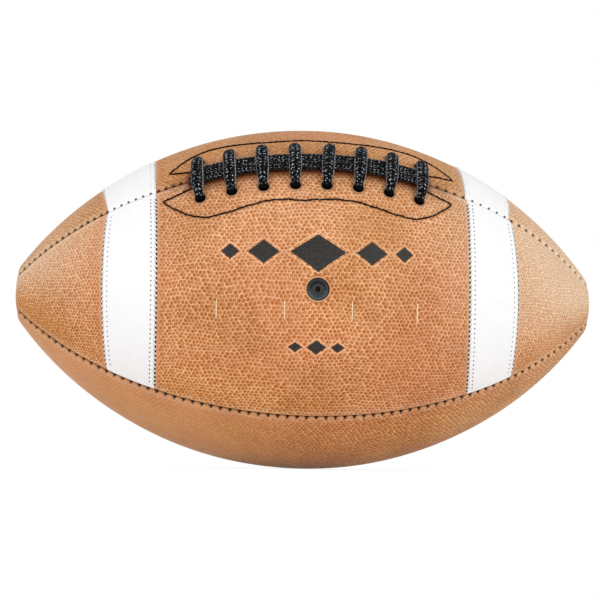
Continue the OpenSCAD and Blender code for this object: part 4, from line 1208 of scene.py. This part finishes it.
def lace_course():
    """The lace's course, drawn with Z out through the top, in steps of 0.36 mm where it shows and
    1.4 mm inside: distances along it, its middle, its width, the unit vectors along its width and
    its thickness, its height over the leather and its distance from the seam."""
    x, y, h, width, turn = lace_route().T
    centre, normal = over_top(x, y, h)
    at = np.concatenate([[0], np.cumsum(np.maximum(np.linalg.norm(np.diff(centre, axis=0), axis=1), 1e-3))])
    tick, hidden, shown_step, hidden_step = 0.1, -2.4, 0.36, 1.4
    fine = np.arange(0, at[-1], tick)
    ticks = np.cumsum(tick / np.where(np.interp(fine, at, h) > hidden, shown_step, hidden_step))
    want = np.interp(np.arange(0, ticks[-1]), ticks, fine)
    centre, normal = blurred(through(centre, at, want), 3), unit(blurred(through(normal, at, want), 3))
    width, turn = blurred(np.stack([np.interp(want, at, row) for row in (width, turn)], 1), 4).T
    turn = np.radians(turn)[:, None]
    ahead = unit(np.gradient(centre, axis=0))
    along = unit(np.cross([0, 1, 0], normal))

    def square_on(rows):
        """Unit vectors of the rows, made square to the lace."""
        return unit(rows - (rows * ahead).sum(1, keepdims=True) * ahead)

    wide = square_on(np.cos(turn) * along + np.sin(turn) * np.cross(normal, along))
    wide = square_on(blurred(wide, 4))
    level, beside = np.interp(want, at, h), np.abs(np.interp(want, at, y))
    return want, centre, width[:, None], wide, np.cross(ahead, wide), level, beside


class BALL_OT_lace(bpy.types.Operator):
    """The braided lace, one length from end to end"""
    bl_idname = "ball.lace"
    bl_label = "Lace"

    def execute(self, context):
        lace = context.scene.lacing_form
        want, centre, width, wide, thick, level, beside = lace_course()
        sides, inset, mean, round_it = 44, 0.05, 0.75, 13.5
        share = np.arange(sides) / sides
        c, s = np.cos(2 * np.pi * share), np.sin(2 * np.pi * share)
        relief = braid_height(want[:, None], share, lace.braid_step)
        grow = (relief - mean) * lace.braid_depth - inset
        # a flat strap, rounder and thicker where it turns down into a hole
        head = smooth(7.0, 11.0, beside)[:, None]
        square = 0.86 + 0.14 * head
        half_w, half_t = width / 2 + grow, lace.thick / 2 * (1 + 0.30 * head) + grow
        ring = (centre[:, None] + (np.sign(c) * np.abs(c) ** square * half_w)[..., None] * wide[:, None]
                + (np.sign(s) * np.abs(s) ** square * half_t)[..., None] * thick[:, None])
        # light catches the edges of the cross laces, the left one more, and not the holes' insides
        deep = np.maximum(smooth(2.0, 0.8, level) * smooth(6.5, 8.5, beside), smooth(0.9, 0.1, level))
        edge = smooth(0.84, 0.92, np.abs(c)) * smooth(1.0, 0.96, np.abs(c)) * np.where(c > 0, 1.0, 0.45)
        crossing = smooth(lace.lift + 0.9, lace.lift + 2.2, level) + smooth(6.0, 7.5, beside)
        marks = {"crown": relief, "edge": edge * np.clip(0.15 + crossing, 0, 1)[:, None], "deep": deep[:, None]}
        rows = len(want)
        piece = put_mesh("braided_lace", over_seam(ring), quads(rows, sides, True),
                         [np.arange(sides), np.arange((rows - 1) * sides, rows * sides)[::-1]],
                         np.stack(np.broadcast_arrays(want[:, None], round_it * share), -1), marks)
        finish_piece(piece, "braid", "lace_braid", "lace")
        return {"FINISHED"}


# ---- Valve ----

class BALL_OT_valve(bpy.types.Operator):
    """Rubber valve in the front panel: rimmed face, moulded ring, plug, needle hole, and the pressed
    rim of the hole in the leather"""
    bl_idname = "ball.valve"
    bl_label = "Valve"

    def execute(self, context):
        f = context.scene.ball_form
        # height of the face over the ball and radius of the hole in the leather; the profiles are rows
        # of radius and height, all in mm
        face, hole = -1.35, 5.35
        centre, axis, side = np.array([0, -f.belly / 2, 0]), np.array([0, -1.0, 0]), np.array([1.0, 0, 0])
        body = np.array([[4.4, -15.2], [4.45, -5.9], [11.0, -5.85], [11.0, -4.4], [10.9, -4.35], [5.25, -4.3],
                         [5.3, face - 0.5], [5.26, face - 0.12], [5.12, face + 0.02], [4.9, face + 0.05],
                         [4.6, face], [3.85, face - 0.02], [3.68, face - 0.12], [3.52, face - 0.34],
                         [3.36, face - 0.12], [3.2, face], [3.05, face + 0.02], [2.95, face - 0.04],
                         [2.88, face - 0.2], [2.86, face - 2.0], [2.9, -15.0]])
        # painted shade: near-black in the moulded ring's groove and on the rim round the face
        groove = bell(body[:, 0] - 3.52, 0.22) + smooth(4.75, 5.1, body[:, 0])
        # painted shadow darkens the upper half of the dish, under its rim
        segments = 72
        upper_dish_shade = smooth(-0.6, 0.7, turns(segments)[1][:, 0]) * smooth(5.3, 4.2, body[:, 0])[:, None]
        housing = turned("valve_face", body, centre, axis, side, segments, (True, True),
                         marks={"dark": np.clip(0.8 * groove[:, None] + upper_dish_shade, 0, 1)})
        finish_piece(housing, "valve", "valve_rubber", "valve_housing")
        plug = np.array([[2.78, -15.3], [2.8, face - 0.25], [2.72, face - 0.1], [2.4, face - 0.06], [2.12, face - 0.04],
                         [2.0, face + 0.06], [1.7, face + 0.05], [1.3, face - 0.02], [1.14, face - 0.2],
                         [1.05, face - 0.6], [1.04, -6.0], [1.04, -15.2]])
        disc = smooth(2.2, 2.0, plug[:, 0]) * (plug[:, 0] > 1.2)
        # painted shade: near-black down the needle hole
        needle_hole_shade = smooth(1.32, 1.1, plug[:, 0])
        core = turned("valve_plug", plug, centre, axis, side, 48, (True, True),
                      marks={"disc": disc[:, None], "dark": needle_hole_shade[:, None]})
        finish_piece(core, "plug", "plug_rubber", "valve_core")
        t = np.linspace(-1, 1, 7)
        mould = [centre + (end * (4.38 + 0.62 * t))[:, None] * side + (face - 0.05) * axis for end in (-1, 1)]
        finish_piece(tubes("valve_mould_line", np.stack(mould), 0.12, 6, marks={"dark": 1}), "valve", "valve_rubber")
        angle, rim = rolled_rim(hole, 0.34, -0.36, 0.24)
        profile = np.concatenate([[[6.3, -1.1], [6.2, -0.42]], rim, [[hole, -0.8], [hole, -1.9]]])
        # painted shade: darker as the lip turns into the hole, near-black walls, and some brown shade over the lip
        dark = np.concatenate([[0.3, 0.0], 0.8 * smooth(2.0, 3.1, angle), [0.97, 1]])
        lip = turned("valve_hole_rim", profile, centre, axis, side, 72, flat=[[1, 0, 0], [0, 0, 1]],
                     marks={"dark": dark[:, None], "shade": 0.3, "plain": 1, "tone": 0})
        finish_piece(lip, "leather", "panel_leather")
        return {"FINISHED"}


# ---- Plain stamp and ticks ----

def front_patch(u, v, height):
    """Points on the front panel at u along the ball from the middle and v above its middle line,
    both measured on the leather, a height above it."""
    return skin_at(u, 0.5 - v / (outline(u)[1] * np.pi / 2), LACED_SEAM, height)


class BALL_OT_stamp(bpy.types.Operator):
    """A plain stamped row of lozenges with a raised pale edge, three small ones below, and four
    short painted ticks"""
    bl_idname = "ball.stamp"
    bl_label = "Plain stamp"

    def execute(self, context):
        # place along the ball and above its middle, half length and half height, in mm
        lozenges = [(0.0, 17.5, 14.5, 9.6)]
        for side in (-1, 1):
            lozenges += [(side * 25.5, 17.5, 8.2, 6.3), (side * 41.3, 17.5, 4.8, 4.1), (side * 10.0, -27.5, 3.6, 2.6)]
        lozenges.append((0.0, -27.5, 5.0, 3.8))
        tick_places, tick_at, tick_half, sides, rows = (-47.5, -15.4, 16.3, 48.1), -10.0, 4.75, 6, 34
        # a square on its corner, pressed in at its edge, and round it a rod with blunted corners
        raised_x, raised_y, raised_r, tick_r = 0.75, 0.55, 0.24, 0.30
        a, b = np.meshgrid(*[np.linspace(-1, 1, rows)] * 2, indexing="ij")
        press = 0.05 - 0.20 * np.maximum(np.abs(a), np.abs(b)) ** 16
        turn = np.linspace(0, 2 * np.pi, 121)
        c, s = np.cos(turn), np.sin(turn)
        blunt = (np.abs(c) + np.abs(s)) ** -0.92
        inks, flats, edges = [], [], []
        for x, y, half_x, half_y in lozenges:
            u, v = x + half_x * (a + b) / 2, y + half_y * (a - b) / 2
            inks.append(front_patch(u, v, press))
            flats.append(pebble_place(u, v))
            u, v = x + (half_x + raised_x) * c * blunt, y + (half_y + raised_y) * s * blunt
            edges.append(front_patch(u, v, 0.02))
        faces = copies(quads(rows, rows), len(lozenges), rows * rows)
        ink = put_mesh("stamped_lozenges", np.stack(inks), faces, uv=np.stack(flats), flip=True)
        finish_piece(ink, "ink", "thread")
        raised = tubes("stamped_edges", np.stack(edges), raised_r, sides, marks={"wear_and_light": 0.3, "plain": 1}, uv=(0, 0))
        finish_piece(raised, "leather", "panel_leather")
        t = np.linspace(-1, 1, 15)
        ticks = np.stack([front_patch(u + 0 * t, tick_at + tick_half * t, 0.04) for u in tick_places])
        finish_piece(tubes("painted_ticks", ticks, tick_r * rounded(t, 8), sides), "paint", "stripe_coating")
        return {"FINISHED"}


# ---- Pieces kept from the frame ----

class BALL_OT_inner_parts(bpy.types.Operator):
    """Cloth, split leather and rubber for the pieces inside, which keep their shape"""
    bl_idname = "ball.inner_parts"
    bl_label = "Inner parts"

    def execute(self, context):
        looks = {"lining": "cloth", "facing_front": "facing", "facing_top": "facing", "tongue": "cloth",
                 "bladder": "bladder"}
        for name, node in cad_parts.items():
            for start, key in looks.items():
                if name.startswith(start):
                    node.data.materials.clear()
                    node.data.materials.append(material(key))
        return {"FINISHED"}


# ---- Stage ----

WHITE = (1.0, 1.0, 1.0, 1.0)


def aim(back, roll=0.0):
    """Right, up and back of a lamp or camera whose back points along a vector, as columns: upright
    but for a roll about it."""
    back = unit(np.array(back))
    right = unit(np.cross([0, 0, 1.0], back))
    up, c, s = np.cross(back, right), math.cos(roll), math.sin(roll)
    return np.column_stack([c * right + s * up, c * up - s * right, back])


def put_aimed(name, data, axes, place):
    """Puts a lamp or camera with these axes at a place in metres."""
    thing = bpy.data.objects.new(name, data)
    thing.matrix_world = Matrix.Translation(place) @ Matrix(axes.tolist()).to_4x4()
    bpy.context.scene.collection.objects.link(thing)
    return thing


def pale_floor(low, colour):
    """Matt pale paper: shaded within 20 mm of where the ball stands, white to the camera from
    110 mm on, and clear from below, so that it doesn't hide the ball's under side."""
    mat, tree = new_material("pale_floor")
    paper = add(tree, SHADER, {"Base Color": (*colour, 1), "Roughness": 0.9})
    white = add(tree, "ShaderNodeEmission", {0: WHITE, 1: 1.0})
    place = add(tree, PLACE).outputs["Object"]
    away = add(tree, VECTOR, {0: place, 1: (0.0, 0.0, low * MM)}, operation="DISTANCE").outputs["Value"]
    share = add(tree, RANGE, {0: away, 1: 0.02, 2: 0.11, 3: 0.75, 4: 1.0}, interpolation_type="SMOOTHSTEP")
    rays = add(tree, RAYS).outputs
    seen = add(tree, MATH, {0: rays["Is Camera Ray"], 1: rays["Is Glossy Ray"]}, operation="MAXIMUM")
    share = add(tree, MATH, {0: seen, 1: share}, operation="MULTIPLY")
    below = add(tree, "ShaderNodeNewGeometry").outputs["Backfacing"]
    both = add(tree, BLEND, {0: share, 1: paper, 2: white})
    both = add(tree, BLEND, {0: below, 1: both, 2: add(tree, "ShaderNodeBsdfTransparent")})
    add(tree, SURFACE, {"Surface": both})
    return mat


class BALL_OT_stage(bpy.types.Operator):
    """Pale floor, soft lamps, white background and the fitted camera"""
    bl_idname = "ball.stage"
    bl_label = "Stage"

    def execute(self, context):
        scene, stage, far = context.scene, context.scene.stage_form, 4000
        low = -scene.ball_form.belly / 2 - 0.02
        corners = [[-far, -far, low], [far, -far, low], [far, far, low], [-far, far, low]]
        floor = put_mesh("floor", corners, np.arange(4)[None])
        floor.data.materials.append(pale_floor(low, stage.shade))

        world = scene.world = bpy.data.worlds.new("studio")
        world.use_nodes = True
        tree = world.node_tree
        tree.nodes.clear()
        rays = add(tree, RAYS).outputs
        seen = add(tree, MATH, {0: rays["Is Camera Ray"], 1: rays["Is Transmission Ray"]}, operation="MAXIMUM")
        soft, bright = (add(tree, "ShaderNodeBackground", {0: WHITE, 1: power}) for power in (stage.soft, 1.0))
        add(tree, "ShaderNodeOutputWorld", {0: add(tree, BLEND, {0: seen, 1: soft, 2: bright})})

        # places and sizes in metres
        for name, place, size, power in (("key", (1.0, -1.25, 0.55), 0.9, stage.key),
                                         ("fill", (-1.35, -0.95, 0.6), 1.1, stage.fill),
                                         ("low", (-0.3, -1.38, -0.04), 0.5, stage.low)):
            lamp = bpy.data.lights.new(name, "AREA")
            lamp.shape, lamp.size, lamp.energy = "DISK", size, power
            put_aimed(name, lamp, aim(place), place)

        yaw, pitch, roll = (math.radians(v) for v in (stage.yaw, stage.pitch, stage.roll))
        axes = aim([math.sin(yaw) * math.cos(pitch), -math.cos(yaw) * math.cos(pitch), math.sin(pitch)], roll)
        eye = axes @ [stage.across, stage.up, stage.distance] * MM
        camera = bpy.data.cameras.new("camera")
        camera.lens, camera.sensor_width, camera.clip_end = stage.lens, 36.0, 30.0
        scene.camera = put_aimed("camera", camera, axes, eye.tolist())
        scene.view_settings.view_transform = "Standard"
        return {"FINISHED"}


# ---- Panel and running order ----

STEPS = (BALL_OT_panels, BALL_OT_stripes, BALL_OT_stripe_threads, BALL_OT_seam_threads, BALL_OT_facing_threads,
         BALL_OT_hole_rims, BALL_OT_lace, BALL_OT_valve, BALL_OT_stamp, BALL_OT_inner_parts, BALL_OT_stage)
FORMS = {"ball_form": BallForm, "lacing_form": LacingForm, "stripe_form": StripeForm, "finish": Finish,
         "stage_form": StageForm}


class BALL_PT_sidebar(bpy.types.Panel):
    """Lists the sizes and colours, and a button for each piece"""
    bl_idname = "BALL_PT_sidebar"
    bl_label = "Laced leather ball"
    bl_space_type = "VIEW_3D"
    bl_region_type = "UI"
    bl_category = "Ball"

    def draw(self, context):
        for name, form in FORMS.items():
            box = self.layout.box()
            box.label(text=form.__name__)
            for key in form.__annotations__:
                box.prop(getattr(context.scene, name), key)
        for step in STEPS:
            self.layout.operator(step.bl_idname)


def register():
    """Registers the sizes, the operators and the panel."""
    for form in FORMS.values():
        bpy.utils.register_class(form)
    for name, form in FORMS.items():
        setattr(bpy.types.Scene, name, PointerProperty(type=form))
    for step in (*STEPS, BALL_PT_sidebar):
        bpy.utils.register_class(step)


def unregister():
    """Takes them out again."""
    for step in (*STEPS, BALL_PT_sidebar):
        bpy.utils.unregister_class(step)
    for name, form in FORMS.items():
        delattr(bpy.types.Scene, name)
        bpy.utils.unregister_class(form)


def main():
    """Makes every piece and the stage in order."""
    register()
    for step in STEPS:
        group, name = step.bl_idname.split(".")
        if getattr(getattr(bpy.ops, group), name)() != {"FINISHED"}:
            raise RuntimeError(f"{step.bl_label} did not finish")


if __name__ == "__main__":
    main()
